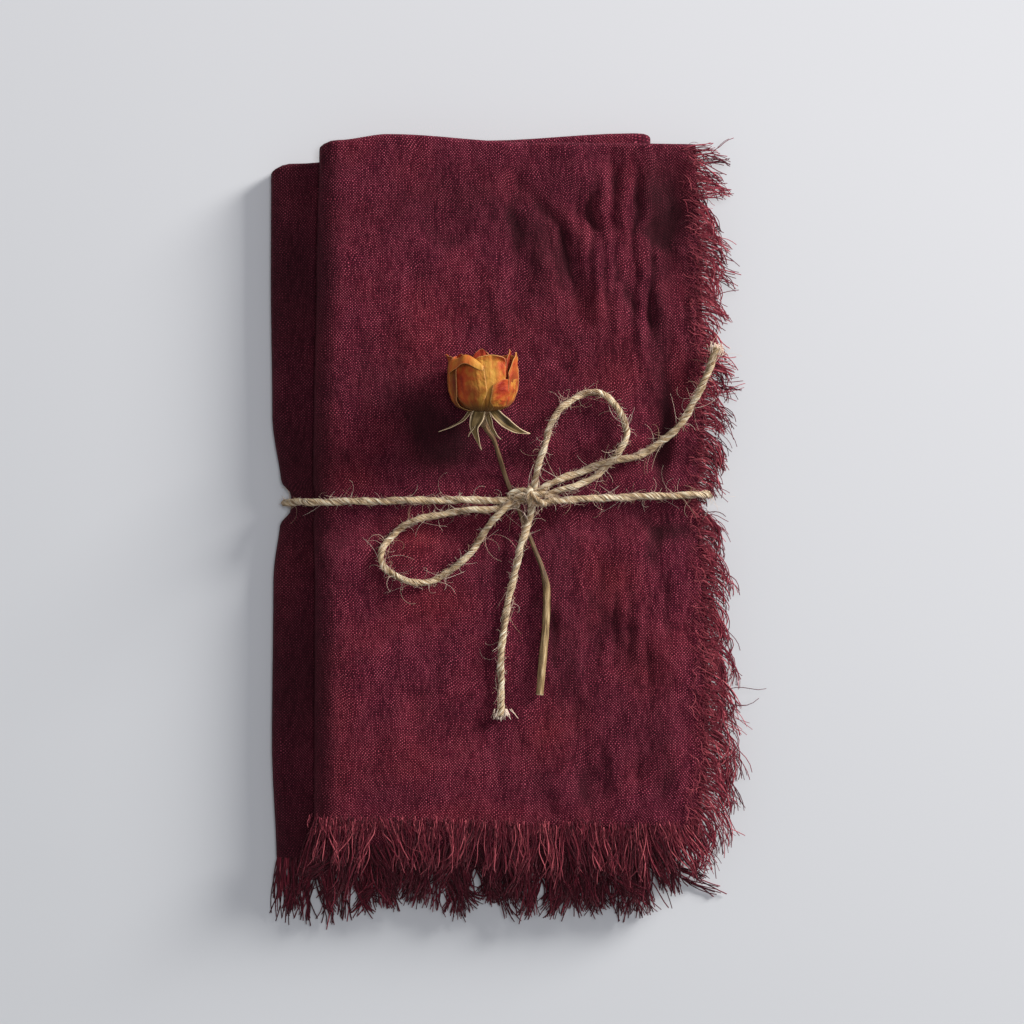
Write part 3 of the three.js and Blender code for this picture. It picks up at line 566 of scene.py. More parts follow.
def fibre_group():
    """Each streak is noise at a share of the scale 1 / width, stretched along the third axis."""
    group, source, result = new_group("fibres", "Width", STREAKS)
    scale = work_out(group, "DIVIDE", 1.0, source.outputs["Width"])
    for name, (share, length) in STREAKS.items():
        mapping = group.nodes.new("ShaderNodeMapping")
        mapping.inputs["Scale"].default_value = (1, 1, length)
        group.links.new(source.outputs["Place"], mapping.inputs["Vector"])
        node = group.nodes.new("ShaderNodeTexNoise")
        node.inputs["Detail"].default_value = 3
        group.links.new(work_out(group, "MULTIPLY", scale, share), node.inputs["Scale"])
        group.links.new(mapping.outputs[0], node.inputs["Vector"])
        group.links.new(node.outputs[0], result.inputs[name])
    return group


FIBRES = fibre_group()


def fibres(tree, width):
    """The fine and the coarse streak at this width in metres."""
    streaks = use_group(tree, FIBRES, kept(tree, "fibre", "Vector"), "Width", width)
    return streaks["Fine"], streaks["Coarse"]


def both_streaks(tree, width, low, high):
    """Fine plus coarse, with low to high spread out to 0 to 1."""
    return spread(tree, work_out(tree, "ADD", *fibres(tree, width)), low, high)


# %% [markdown]
# ## Jute twine
# The twine is two plies turned round each other, pale where the fibres catch the light and brown
# in the grooves. A plain round cord would miss both, so each ply is a tube of its own on a helix,
# and the material darkens the points near the twine's axis: painted shade in the grooves.

# %% The jute material
def jute_material():
    material, tree, shader = new_material("jute", roughness=0.9, gloss=0.15, sheen=0.3,
                                          tint=paint(255, 238, 220))
    streak = both_streaks(tree, 0.00020, 0.78, 1.22)
    colour = ramp(tree, streak, (0.0, paint(86, 60, 38)), (0.3, paint(172, 140, 102)),
                  (0.6, paint(230, 202, 160)), (1.0, paint(255, 247, 222)))
    # Painted shade: points near the twine's axis, in the grooves between the plies, turn brown.
    colour = mix(tree, kept(tree, "groove"), colour, paint(104, 76, 50))
    colour = mix(tree, kept(tree, "tone"), colour, paint(140, 110, 70))
    put(tree, shader.inputs["Base Color"], colour)
    raise_surface(tree, shader, streak, 0.00028)
    return material


def loose_fibre_material():
    material, tree, shader = new_material("jute_fuzz", roughness=0.8, gloss=0.2, sheen=0.2,
                                          tint=paint(255, 235, 225))
    colour = mix(tree, kept(tree, "tone"), paint(255, 236, 216), paint(196, 158, 126))
    put(tree, shader.inputs["Base Color"], colour)
    return material


JUTE = jute_material()
FUZZ = loose_fibre_material()

# %% [markdown]
# ## The route of each length of twine
# The band runs from the knot over the left folds, under the bundle and back. Two loops and two
# tails leave the knot. These are the routes of the solids, and on the cloth a length rests on
# the top layer, so its points say only how far above the cloth it rides.

# %% Routes of the band, the loops and the tails
TWINE = 2.4
REST = 0.15
BRIDGED = -0.2
BAND_OVER = [(2.2, 8.2, 2.4), (-0.9, 7.9, 2.0), (-8, 8.0, 0.9), (-18, 8.0, 0.1), (-30, 7.9, 0),
             (-44, 7.6, 0), (-52, 7.5, 0.1)]
BAND_LEFT = [(-57.4, 7.4, 13.0), (-59.2, 7.4, 10.7), (-61.9, 7.4, 8.7), (-63.9, 7.3, 6.4),
             (-64.2, 7.3, 4.0), (-62.4, 7.3, 2.0), (-58, 7.4, 1.4)]
BAND_UNDER = [(-50, 7.5, 1.3), (-35, 7.8, 1.3), (-20, 8.1, 1.3), (0, 8.5, 1.3), (20, 8.9, 1.3),
              (38, 9.2, 1.3), (50, 9.4, 1.4)]
BAND_RIGHT = [(55.2, 9.5, 2.2), (57.4, 9.6, 4.6), (58.0, 9.6, 8.0), (57.4, 9.6, 11.1)]
BAND_BACK = [(54.6, 9.5, 0.7), (47, 9.3, 0), (38, 9.0, 0), (28, 8.6, 0.2), (20.5, 8.2, 1.1),
             (14.4, 8.0, 1.7), (11.4, 8.2, 2.0)]
LOOP_RIGHT = [(6.9, 9.2, 2.6), (7.8, 12.8, 2.6), (9.1, 19.2, 3.0), (10.7, 25.2, 2.6),
              (12.9, 30.6, 2.0), (15.6, 34.6, 1.5), (19.1, 37.3, 1.1), (22.9, 38.6, 0.8),
              (26.4, 38.2, 0.7), (29.6, 36.3, 0.7), (32.1, 33.3, 0.8), (33.4, 29.8, 1.2),
              (33.5, 26.3, 1.9), (32.3, 23.0, 2.6), (30.4, 19.8, 3.0), (26.9, 16.5, 2.8),
              (22.6, 13.6, 2.5), (18.3, 11.6, 2.6), (13.8, 10.3, 2.8), (10.2, 9.4, 3.0)]
LOOP_LEFT = [(3.4, 7.0, 2.2), (-1.2, 6.0, 1.8), (-8.0, 5.2, 1.1), (-14.7, 4.7, 0.7),
             (-21.3, 3.6, 0.4), (-26.7, 1.9, 0.2), (-31.3, -0.4, 0.1), (-34.3, -3.4, 0.1),
             (-36.0, -6.8, 0.1), (-35.7, -10.1, 0.1), (-33.5, -12.9, 0.1), (-30.0, -14.8, 0.1),
             (-25.5, -15.5, 0.1), (-20.7, -14.5, 0.1), (-16.0, -12.0, 0.2), (-12.0, -8.3, 0.6),
             (-8.7, -4.1, 1.3), (-6.1, -0.5, 2.0), (-3.4, 3.1, 2.7), (-1.0, 6.0, 3.2),
             (1.4, 8.2, 3.0)]
TAIL_RIGHT = [(8.8, 10.4, 2.6), (11.2, 12.0, 2.2), (15.4, 14.1, 1.8), (20.3, 15.9, 0.9),
              (26, 18.0, 0.2), (31, 19.5, 0.1), (37.7, 20.9, 0.1), (44.5, 25.2, 0.1),
              (49.5, 30.2, 0.4), (53.4, 36.6, 1.5), (55.8, 41.8, 2.8), (58.0, 47.0, 4.0),
              (59.6, 51.6, 5.0)]
TAIL_DOWN = [(7.0, 8.0, 2.4), (6.6, 5.1, 2.4), (5.6, 1.2, 2.2), (4.5, -2.8, 1.7), (2.9, -8.6, 0.7),
             (1.6, -13.6, 0.2), (0.3, -20.4, 0.1), (-1.2, -28.0, 0.1), (-1.8, -35.0, 0.1),
             (-2.1, -43.0, 0.1), (-1.8, -53.6, 0.1)]


def on_cloth(rows, radius=TWINE / 2):
    """Points on the top layer: z = its surface + rest + above + the twine's radius, where a
    trough deeper than the bridged depth is spanned."""
    x, y, above = np.array(rows, float).T
    top = height_at(x, y, TOP_LEVEL) + SHEET / 2 + np.maximum(top_relief(x, y), BRIDGED)
    return np.stack([x, y, top + REST + above + radius], axis=1)


BAND_ROUTE = np.vstack([on_cloth(BAND_OVER), BAND_LEFT, BAND_UNDER, BAND_RIGHT,
                        on_cloth(BAND_BACK)])

# %% [markdown]
# ## Twisted plies and their loose fibres
# A ply's centre circles the route once in every lay, and each length's first ply starts at a
# turn of its own. Jute sheds: fine fibres stand off the twine in curls, and a cut end opens
# like a brush. Each fibre is a three-sided tube about a tenth of a millimetre thick that starts
# on the twine and bends evenly.

# %% Twist the plies
LAY = 16.0
TWINE_STEP = 0.5
PLY_CORNERS = 10
PLY_OFFSET = 0.22
PLY_THICKNESS = 0.72
FIBRE_LAY = 9
GROOVE_REACH = (0.55, 1.0)
WOBBLE = {"height": 0.05, "lengths": (7.3, 4.1)}


def twist_plies(route, reference, seed, shade, groove_shade, radius=TWINE / 2, open_end=0.0):
    """Ply centre = route + offset (cos turn side + sin turn up); its wall circles that centre.
    Gives the middle line and the part."""
    rng = np.random.default_rng(seed)
    line, length = smooth_route(route, TWINE_STEP)
    _, side, up = frame_along(line, reference)
    phases = rng.uniform(0, 6.3, (2, 2))[0]
    waves = np.sin(2 * np.pi * length[:, None] / WOBBLE["lengths"] + phases)
    line = line + WOBBLE["height"] * (waves[:, :1] * side + waves[:, 1:] * up)
    fray = 1 + open_end * smooth(length, length[-1] - 5, length[-1])
    angle = ring(PLY_CORNERS)
    points, fibre, groove = [], [], []
    for ply in range(2):
        turn = 2 * np.pi * length / LAY + np.pi * ply + rng.uniform(0, 6.3) * (ply == 0)
        lumps = 1 + 0.07 * np.sin(2 * np.pi * length / rng.uniform(3, 5) + rng.uniform(0, 6.3))
        centre = line + PLY_OFFSET * radius * fray[:, None] * circle(turn, side, up)
        out = circle(angle + turn[:, None], side[:, None], up[:, None])
        thick = PLY_THICKNESS * radius * fray[:, None, None] * lumps[:, None, None]
        wall = centre[:, None] + thick * out
        points.append(wall.reshape(-1, 3))
        curl = angle - 2 * np.pi * length[:, None] / FIBRE_LAY
        flat = [np.cos(curl), np.sin(curl), np.broadcast_to(length[:, None], curl.shape)]
        fibre.append((np.stack(flat, axis=-1) * [0.7, 0.7, 1] * MM).reshape(-1, 3))
        away = np.linalg.norm(wall - line[:, None], axis=-1).ravel()
        # Painted shade for the grooves: strongest on the points nearest the twine's axis.
        groove.append(groove_shade * (1 - smooth(away, *GROOVE_REACH)))
    groove = np.concatenate(groove)
    numbers = {"fibre": np.vstack(fibre), "groove": groove, "tone": np.full(groove.shape, shade)}
    return line, (np.vstack(points), tube_faces(2, len(line), PLY_CORNERS), numbers)


# %% Loose fibres
SKEW = np.array([0.31, 0.17, 0.94])
TOP_PANEL = {"left": -58, "right": 56, "bottom": -86, "top": 108, "level": 8}


def thin_tubes(lines, radii):
    """Three-sided tubes: corner = line + radius (cos a side + sin a up), a in thirds of a turn."""
    _, side, up = frame_along(lines, unit(SKEW))
    out = circle(ring(3), side[:, :, None], up[:, :, None])
    points = lines[:, :, None] + radii[:, :, None, None] * out
    return points.reshape(-1, 3), tube_faces(len(lines), lines.shape[1], 3)


def curl_lines(roots, ahead, turned, length, bend, stations):
    """Fibres that bend evenly: direction = cos(bend s) ahead + sin(bend s) turned, summed up."""
    angle = bend[:, None] * np.linspace(0, 1, stations)
    heading = circle(angle, ahead[:, None], turned[:, None])
    steps = heading * (length / (stations - 1))[:, None, None]
    walked = np.cumsum(steps, axis=1) - steps[:, :1]
    return roots[:, None] + walked


def keep_above(lines, gap=0.1):
    """Lifts points that would be in the cloth or the table."""
    x, y, z = lines[..., 0], lines[..., 1], lines[..., 2]
    top = height_at(x, y, TOP_LEVEL) + SHEET / 2
    beside = (x > TOP_PANEL["left"]) & (x < TOP_PANEL["right"])
    within = beside & (y > TOP_PANEL["bottom"]) & (y < TOP_PANEL["top"])
    floor = np.where(within & (z > TOP_PANEL["level"]), top, 0) + gap
    return np.stack([x, y, np.maximum(z, floor)], axis=-1)


def fibres_piece(name, lines, radii, tone):
    """A piece of thin tubes, each of one tone."""
    points, faces = thin_tubes(lines, radii)
    numbers = {"tone": np.repeat(tone, 3 * lines.shape[1])}
    return add_piece(name, (points, faces, numbers), FUZZ)


FUZZ_STATIONS = 8
LONG_SHARE = 0.18


def fuzz_piece(name, line, seed, per_mm=4.6, longest=9.5):
    """Fibres that leave the twine outwards, leaning along it; a few are long and curl more."""
    rng = np.random.default_rng(seed)
    count = int(len(line) * TWINE_STEP * per_mm)
    at = rng.integers(1, len(line) - 1, count)
    ahead, side, up = (part[at] for part in frame_along(line, unit(rng.normal(size=3))))
    out = circle(rng.uniform(0, 2 * np.pi, count), side, up)
    sense = rng.choice([-1, 1], count)[:, None]
    lean = rng.uniform(0.5, 3.0, count)[:, None]
    heading = unit(out + lean * sense * ahead + 0.3 * rng.normal(size=(count, 3)))
    turned = unit(np.cross(heading, rng.normal(size=(count, 3))))
    long = rng.uniform(0, 1, count) < LONG_SHARE
    length = np.where(long, rng.uniform(2.5, longest, count), rng.uniform(0.5, 2.0, count))
    bend = rng.uniform(-1, 1, count) * np.where(long, 3.2, 1.6)
    lines = curl_lines(line[at] + 0.95 * out, heading, turned, length, bend, FUZZ_STATIONS)
    radii = rng.uniform(0.028, 0.06, count)[:, None] * np.linspace(1, 0.5, FUZZ_STATIONS)
    return fibres_piece(name, keep_above(lines), radii, rng.uniform(0, 1, count))


BRUSH_STATIONS = 7
BRUSH_FIBRES = 90
BRUSH_LENGTH = {"shortest": 2.0, "more": 1.6}


def brush_piece(name, line, seed):
    """The open end of a cut tail: fibres that go on from its last points and part slowly."""
    rng = np.random.default_rng(seed)
    count = BRUSH_FIBRES
    ahead, side, up = (part[-1] for part in frame_along(line, UPWARDS))
    across = rng.normal(size=(count, 2)) * [0.75, 0.45]
    roots = line[-5] + across[:, :1] * side + across[:, 1:] * up
    parting = rng.normal(size=(count, 2)) * 0.16 + 0.16 * across
    heading = unit(ahead + parting[:, :1] * side + 0.5 * parting[:, 1:] * up)
    turned = unit(np.cross(heading, rng.normal(size=(count, 3))))
    more = rng.uniform(0.0, 1.0, count) ** 2 * BRUSH_LENGTH["more"]
    lines = curl_lines(roots, heading, turned, BRUSH_LENGTH["shortest"] + more,
                       rng.uniform(-0.6, 0.6, count), BRUSH_STATIONS)
    radii = rng.uniform(0.07, 0.15, count)[:, None] * np.linspace(1, 0.8, BRUSH_STATIONS)
    tone = rng.uniform(-0.3, 0.7, count).clip(0, 1)
    return fibres_piece(name, keep_above(lines), radii, tone)


# %% Lay the twine
TWINE_GROOVE_SHADE = 0.8
OPEN_END = 0.2


def lay_twine(name, route, reference, seed, shade=0.0, tail=False):
    """One length of twine with its loose fibres; a tail ends in a brush."""
    line, part = twist_plies(route, reference, seed, shade, TWINE_GROOVE_SHADE,
                             open_end=OPEN_END if tail else 0.0)
    piece = add_piece(name, part, JUTE, [name.replace("jute", "twine")])
    extras = [fuzz_piece(name + "_fuzz", line, seed + 1)]
    if tail:
        extras.append(brush_piece(name + "_brush", line, seed + 2))


lay_twine("jute_band", BAND_ROUTE, ALONG_NAPKIN, 11)
lay_twine("jute_loop_right", on_cloth(LOOP_RIGHT), UPWARDS, 21)
lay_twine("jute_loop_left", on_cloth(LOOP_LEFT), UPWARDS, 31, 0.15)
lay_twine("jute_tail_right", on_cloth(TAIL_RIGHT), UPWARDS, 41, 0.25, True)
lay_twine("jute_tail_down", on_cloth(TAIL_DOWN), UPWARDS, 51, 0.05, True)

# %% [markdown]
# ## The knot
# A bow's knot is a few turns of the same twine pressed together: two strands and one across them
# on the left, two on the right, one turn that grips them in the middle and a slanting strand over
# it. Each is a short length twisted like the rest, so the knot reads as twine, not as a lump.

# %% Tie the knot
KNOT_TURNS = [
    # points as across, along, above
    [(0.3, 8.9, 2.2), (1.7, 10.1, 2.5), (3.7, 10.6, 2.7), (5.7, 10.3, 2.9), (7.4, 9.4, 2.6)],
    [(-0.9, 6.9, 2.0), (1.1, 7.3, 2.4), (3.4, 7.7, 2.8), (5.7, 7.9, 2.9), (8.0, 8.0, 2.5)],
    [(1.6, 8.8, 3.6), (3.4, 9.2, 4.2), (5.0, 9.2, 4.3), (6.6, 8.8, 3.8)],
    [(6.9, 9.9, 2.6), (9.4, 10.1, 2.9), (11.4, 9.6, 2.7), (13.9, 8.9, 2.1)],
    [(7.1, 7.4, 2.4), (9.1, 7.1, 2.6), (11.4, 7.4, 2.4), (14.2, 8.0, 1.9)],
    [(6.8, 11.6, 2.0), (5.9, 10.4, 4.3), (5.8, 8.6, 4.8), (6.6, 6.6, 2.6)],
    [(4.6, 11.0, 2.4), (5.8, 10.2, 4.8), (7.3, 8.8, 5.8), (8.9, 7.5, 4.9), (10.2, 6.6, 2.6)],
]
KNOT_LIFT = 0.95
KNOT_RADIUS = 1.12
KNOT_GROOVE_SHADE = 0.6
KNOT_SHADE = 0.1


def knot_piece():
    parts, lines = [], []
    for number, rows in enumerate(KNOT_TURNS):
        line, part = twist_plies(on_cloth(rows, KNOT_LIFT), UPWARDS, 60 + number, KNOT_SHADE,
                                 KNOT_GROOVE_SHADE, KNOT_RADIUS)
        parts.append(part)
        lines.append(line)
    add_piece("jute_knot", join_parts(parts), JUTE, ["twine_knot"])
    fuzz_piece("jute_knot_fuzz", np.vstack(lines), 71, per_mm=3.2, longest=8.0)


knot_piece()

# %% [markdown]
# ## The napkin's folds
# The cloth is one sheet. Followed across, it runs to and fro through four panels joined by three
# round folds; followed along, it goes up the front layer, over the top edge and down the back
# layer. A function of those two parameters gives every point, and the same tables that shaped
# the solid say where the folds and edges lie.

# %% Where the folds and the hems lie
FOLD_LINES = np.array([
    # y, first side edge, fold 1, fold 2, fold 3, last side edge
    (-97, 52.5, -55.9, 42.6, -67.0, 46.0), (-62, 57.4, -55.7, 43.0, -68.3, 47.0),
    (-16, 57.0, -55.6, 43.0, -67.9, 47.7), (8.6, 55.0, -56.3, 42.0, -65.3, 47.0),
    (33, 56.2, -55.8, 42.0, -68.2, 47.7), (70, 55.4, -55.1, 41.6, -68.6, 47.7),
    (114, 53.6, -54.2, 41.1, -68.5, 47.7),
])
LENGTHS = np.array([
    # place along the zigzag, top, front hem, back hem
    (0.0, 109.6, -86.3, -91.2), (0.45, 109.9, -85.6, -91.0), (0.86, 112.4, -84.6, -90.6),
    (1.0, 110.7, -84.6, -90.6), (1.5, 110.9, -89.5, -92.8), (2.0, 113.0, -93.4, -94.2),
    (2.5, 109.5, -94.6, -95.4), (3.0, 104.6, -95.0, -96.0), (4.0, 108.0, -94.5, -95.5),
])
TOP_EDGE, FRONT_HEM, BACK_HEM = 1, 2, 3
PANEL_LEVELS = (6.5, 4.5, 2.5, 0.5)
FOLD_LEVELS = (5.5, 3.5, 1.5)
FOLD_REACH = {"outside": 5.0, "inside": 0.55}
FOLD_SIDES = (0, 1, -1, 1, 0)
BITE = {"depth": 2.6, "flat": 2.4, "reach": 6.5}
BITE_SHARES = (-0.5, 0.3, 0.0, 1.0, 0.0)
TOP_TURN = 1.1


def read_table(table, place, column):
    """Smooth steps from row to row of a table, by its first column."""
    keys = table[:, 0]
    row = np.clip(np.searchsorted(keys[1:-1], place), 0, len(keys) - 2)
    low, high = table[row, column], table[row + 1, column]
    return low + (high - low) * smooth(place, keys[row], keys[row + 1])


def bite_at(x, y):
    """How far the twine pulls the folds inwards."""
    return BITE["depth"] * (1 - smooth(np.abs(y - tie_line(x)), BITE["flat"], BITE["reach"]))


def line_at(number, y):
    """Where a side edge (0, 4) or the centre of a fold's round (1, 2, 3) is, at height y: the
    table's line, half the fold's width inwards, and its share of the twine's bite."""
    line = read_table(FOLD_LINES, y, number + 1)
    inwards = FOLD_SIDES[number] * (FOLD_REACH["outside"] + SHEET / 2)
    return line + inwards + BITE_SHARES[number] * bite_at(line, y)


def section_place(section, share, side, y):
    """Across and level of a column. Even sections are panels, which run straight from line to
    line; odd ones are folds: across = centre + reach sin(turn), level = middle + cos(turn)."""
    x, level = np.zeros(np.broadcast(share, side, y).shape), np.zeros(np.broadcast(share, y).shape)
    for number in range(7):
        here = section == number
        half = number // 2
        if number % 2 == 0:
            start, end = line_at(half, y), line_at(half + 1, y)
            facing = 1 if half % 2 == 0 else -1
            across, height = start + (end - start) * share, PANEL_LEVELS[half] + side * facing
        else:
            outwards = 1 if half == 1 else -1
            centre = line_at(half + 1, y)
            outer = 0.5 - outwards * side
            inside = FOLD_REACH["inside"] * step_at(centre, y)
            reach = inside + (FOLD_REACH["outside"] - inside) * outer
            across = centre + outwards * reach * np.sin(np.pi * share)
            height = FOLD_LEVELS[half] + (1 - outwards * side) * np.cos(np.pi * share)
        x, level = np.where(here, across, x), np.where(here, height, level)
    return x, level


def along_zigzag(section, share):
    """0 to 4 along the zigzag: a panel's number plus its share, and whole numbers at folds."""
    return np.where(section % 2 == 0, section // 2 + share, (section + 1) // 2)


# %% [markdown]
# ## The linen material
# The weave is plain: each thread goes over one and under the next. Two sets of rounded threads
# cross, and a sine along each thread says whether it is on top. Flax is spun unevenly, so every
# thread has its own streak of tone, and the threads wander a little. The weave is a group that
# gives its height and tone, and the material turns these into colours and a bump. The colour
# follows the height: thread tops are painted light and the gaps between them painted shade.

# %% The weave group
def combine(tree, *values):
    """Two or three numbers as one position."""
    node = tree.nodes.new("ShaderNodeCombineXYZ")
    for socket, value in zip(node.inputs, values):
        put(tree, socket, value)
    return node.outputs[0]


SWAY = {"short": 0.0022, "long": 0.014, "long_share": 3.0, "reach": 0.0009}


def swayed_cells(group, place, value, stretch, pitch):
    """Counts threads along one axis, after two sizes of noise have moved them a little: the
    count, its whole part, and the hump sin(pi x its fraction)."""
    slow = work_out(group, "MULTIPLY", clouds(group, place, SWAY["long"], 2.0),
                    SWAY["long_share"])
    sway = work_out(group, "ADD", clouds(group, place, SWAY["short"], 1.0, stretch), slow)
    moved = work_out(group, "MULTIPLY_ADD", sway, SWAY["reach"], value)
    count = work_out(group, "DIVIDE", moved, pitch)
    fraction = work_out(group, "FRACT", count)
    hump = work_out(group, "SINE", work_out(group, "MULTIPLY", np.pi, fraction))
    return count, work_out(group, "FLOOR", count), hump


def thread_top(group, hump, other_hump, level):
    """The product of a round top across the thread and a crown along it, times its level."""
    crown = work_out(group, "MULTIPLY_ADD", other_hump, 0.7, 0.3)
    round_top = work_out(group, "MULTIPLY_ADD", hump, 0.75, 0.25)
    return work_out(group, "MULTIPLY", work_out(group, "MULTIPLY", round_top, crown), level)


def thread_streak(group, own, cell, other_count):
    """Noise that changes from thread to thread and slowly along each."""
    at = [work_out(group, "MULTIPLY", cell, 3.7), work_out(group, "MULTIPLY", other_count, 0.11)]
    if own == 1:
        at.reverse()
    noise = clouds(group, combine(group, *at, 5.0 * own), 1.0, 1.0)
    return spread(group, noise, 0.3, 0.7)


def weave_group():
    """A thread's top is (0.25 + 0.75 sin(pi a)) (0.3 + 0.7 sin(pi b)), a across it and b along
    it. The upright thread is on top where the two cell numbers add up to an even number, and the
    crosswise one lies half as high, so the bright dots stand like the squares of one colour on
    a chessboard. Height also sets the colour, so the lower crosswise thread gets a painted shade,
    as under a low side lamp."""
    group, source, result = new_group("plain_weave", "Pitch", ("Height", "Tone"))
    place, pitch = source.outputs["Place"], source.outputs["Pitch"]
    split = group.nodes.new("ShaderNodeSeparateXYZ")
    group.links.new(place, split.inputs[0])
    stretches = ((1, 0.4, 1), (0.4, 1, 1))
    counts, cells, humps = zip(*[swayed_cells(group, place, split.outputs[axis], stretch, pitch)
                                 for axis, stretch in enumerate(stretches)])
    half = work_out(group, "MULTIPLY", work_out(group, "ADD", *cells), 0.5)
    odd = work_out(group, "MULTIPLY", work_out(group, "FRACT", half), 2.0)
    tops, streaks = [], []
    for own, other in ((0, 1), (1, 0)):
        tops.append(thread_top(group, humps[own], humps[other], 1.0 - 0.5 * own))
        streaks.append(thread_streak(group, own, cells[own], counts[other]))

    def choose(pair):
        change = work_out(group, "SUBTRACT", pair[1], pair[0])
        return work_out(group, "MULTIPLY_ADD", change, odd, pair[0])

    chance = group.nodes.new("ShaderNodeTexWhiteNoise")
    group.links.new(combine(group, *cells), chance.inputs["Vector"])
    streak = work_out(group, "MULTIPLY", choose(streaks), 0.6)
    tone = work_out(group, "MULTIPLY_ADD", chance.outputs[0], 0.28, streak)
    put(group, result.inputs["Height"], choose(tops))
    # Painted shade: cells where the crosswise thread is on top get a lower tone.
    put(group, result.inputs["Tone"], work_out(group, "MULTIPLY_ADD", odd, -0.12, tone))
    return group


# %% The linen's colours
THREAD_PITCH = 0.00043


def linen_colour(tree, place, lit):
    """Wine red by how high and pale a thread is, warmer in the red places and nearly black where
    shade is painted."""
    wine = ramp(tree, lit, (0.0, paint(35, 5, 15)), (0.22, paint(60, 12, 28)),
                (0.5, paint(106, 27, 49)), (0.9, paint(180, 84, 102)))
    warm = ramp(tree, lit, (0.0, paint(44, 6, 12)), (0.4, paint(114, 26, 37)),
                (0.9, paint(194, 88, 88)))
    shaded = ramp(tree, lit, (0.0, paint(22, 5, 9)), (1.0, paint(78, 27, 38)))
    clouded = spread(tree, clouds(tree, place, 0.02, 2.0), 0.45, 0.75, 0.0, 0.3)
    red = work_out(tree, "ADD", kept(tree, "red"), clouded)
    return mix(tree, kept(tree, "dark"), mix(tree, red, wine, warm), shaded)


def linen_material():
    material, tree, shader = new_material("linen", roughness=0.9, gloss=0.11, sheen=0.14,
                                          tint=paint(225, 120, 138))
    place = tree.nodes.new("ShaderNodeUVMap").outputs[0]
    weave = use_group(tree, weave_group(), place, "Pitch", THREAD_PITCH)
    height = weave["Height"]
    blots = spread(tree, clouds(tree, place, 0.006, 3.0, (1, 0.5, 1)), 0.3, 0.7, -0.15, 0.15)
    tone = work_out(tree, "ADD", weave["Tone"], blots)
    # Painted light and shade: height times tone, so thread tops are pale and the gaps dark.
    lit = work_out(tree, "MULTIPLY", height, work_out(tree, "ADD", tone, 0.42))
    put(tree, shader.inputs["Base Color"], linen_colour(tree, place, lit))
    wrinkles = clouds(tree, place, 0.0032, 3.0, (1, 0.45, 1))
    rise = work_out(tree, "MULTIPLY_ADD", wrinkles, 3.4, work_out(tree, "ADD", height, tone))
    raise_surface(tree, shader, rise, 0.00021)
    return material


LINEN = linen_material()

# %% [markdown]
# ## The napkin itself
# The grid is fine where the top panel shows its creases and coarse where layers hide each other.
# Its UV map is the distance walked across and along the cloth in metres, so the weave keeps its
# pitch round every fold. Solidify then gives the sheet its three quarters of a millimetre,
# half of it on each side.

# %% Rows and columns of the cloth
SECTION_STEPS = (134, 6, 12, 6, 20, 6, 12)
FRONT_ROWS = (62, 22, 92)
BACK_ROWS = (16, 10, 17)
TURN_ROWS = 8
BESIDE_TWINE = 13
COLUMN_EASE = 1.35
CLOTH_THICKNESS = 0.75


def list_columns():
    """Each section gives its steps, and the last one its end as well; the top panel's columns
    are closest at its frayed edge: share to the power of the ease."""
    sections, shares = [], []
    for section, steps in enumerate(SECTION_STEPS):
        last = section == len(SECTION_STEPS) - 1
        sections.append(np.full(steps + last, section))
        share = np.arange(steps + last) / steps
        shares.append(share ** COLUMN_EASE if section == 0 else share)
    return np.concatenate(sections)[:, None], np.concatenate(shares)[:, None]


def layer_rows(along, hem_column, middle, turn, rows):
    """Heights from hem to turn in three stretches, the middle one being round the twine."""
    below, beside, above = rows
    hem = read_table(LENGTHS, along, hem_column)
    low, high = middle - BESIDE_TWINE, middle + BESIDE_TWINE
    return np.concatenate([hem + (low - hem) * np.linspace(0, 1, below, endpoint=False),
                           low + (high - low) * np.linspace(0, 1, beside),
                           high + (turn - high) * np.linspace(0, 1, above + 1)[1:]], axis=1)


# %% Round corners and the left fold
CORNERS = {1: (3.6, 5.0), 3: (1.2, 1.8), 5: (4.6, 5.5)}
NEAR_TOP = 100.0
ROLL_DEPTH = 1.15


def corner_drop(section, share):
    """The doubled corners are round: drop x (1 - distance / reach) squared beside a fold."""
    x, _ = section_place(section, share, 0.0, np.full(share.shape, NEAR_TOP))
    drop = np.zeros(share.shape)
    for fold, (depth, reach) in CORNERS.items():
        distance = np.abs(x - read_table(FOLD_LINES, NEAR_TOP, (fold + 1) // 2 + 1))
        near = np.abs(section - fold) <= 1
        drop = np.maximum(drop, near * depth * np.maximum(0, 1 - distance / reach) ** 2)
    return drop


def roll_down(section, x, level, y):
    """The top panel slopes down to its fold on the left, except under the twine."""
    share = 1 - smooth(x, -57, -46)
    away = smooth(np.abs(y - tie_line(x)), 2, 9)
    upper = smooth(level, 3.6, 5.0) * (section < 3)
    return ROLL_DEPTH * share * share * away * upper


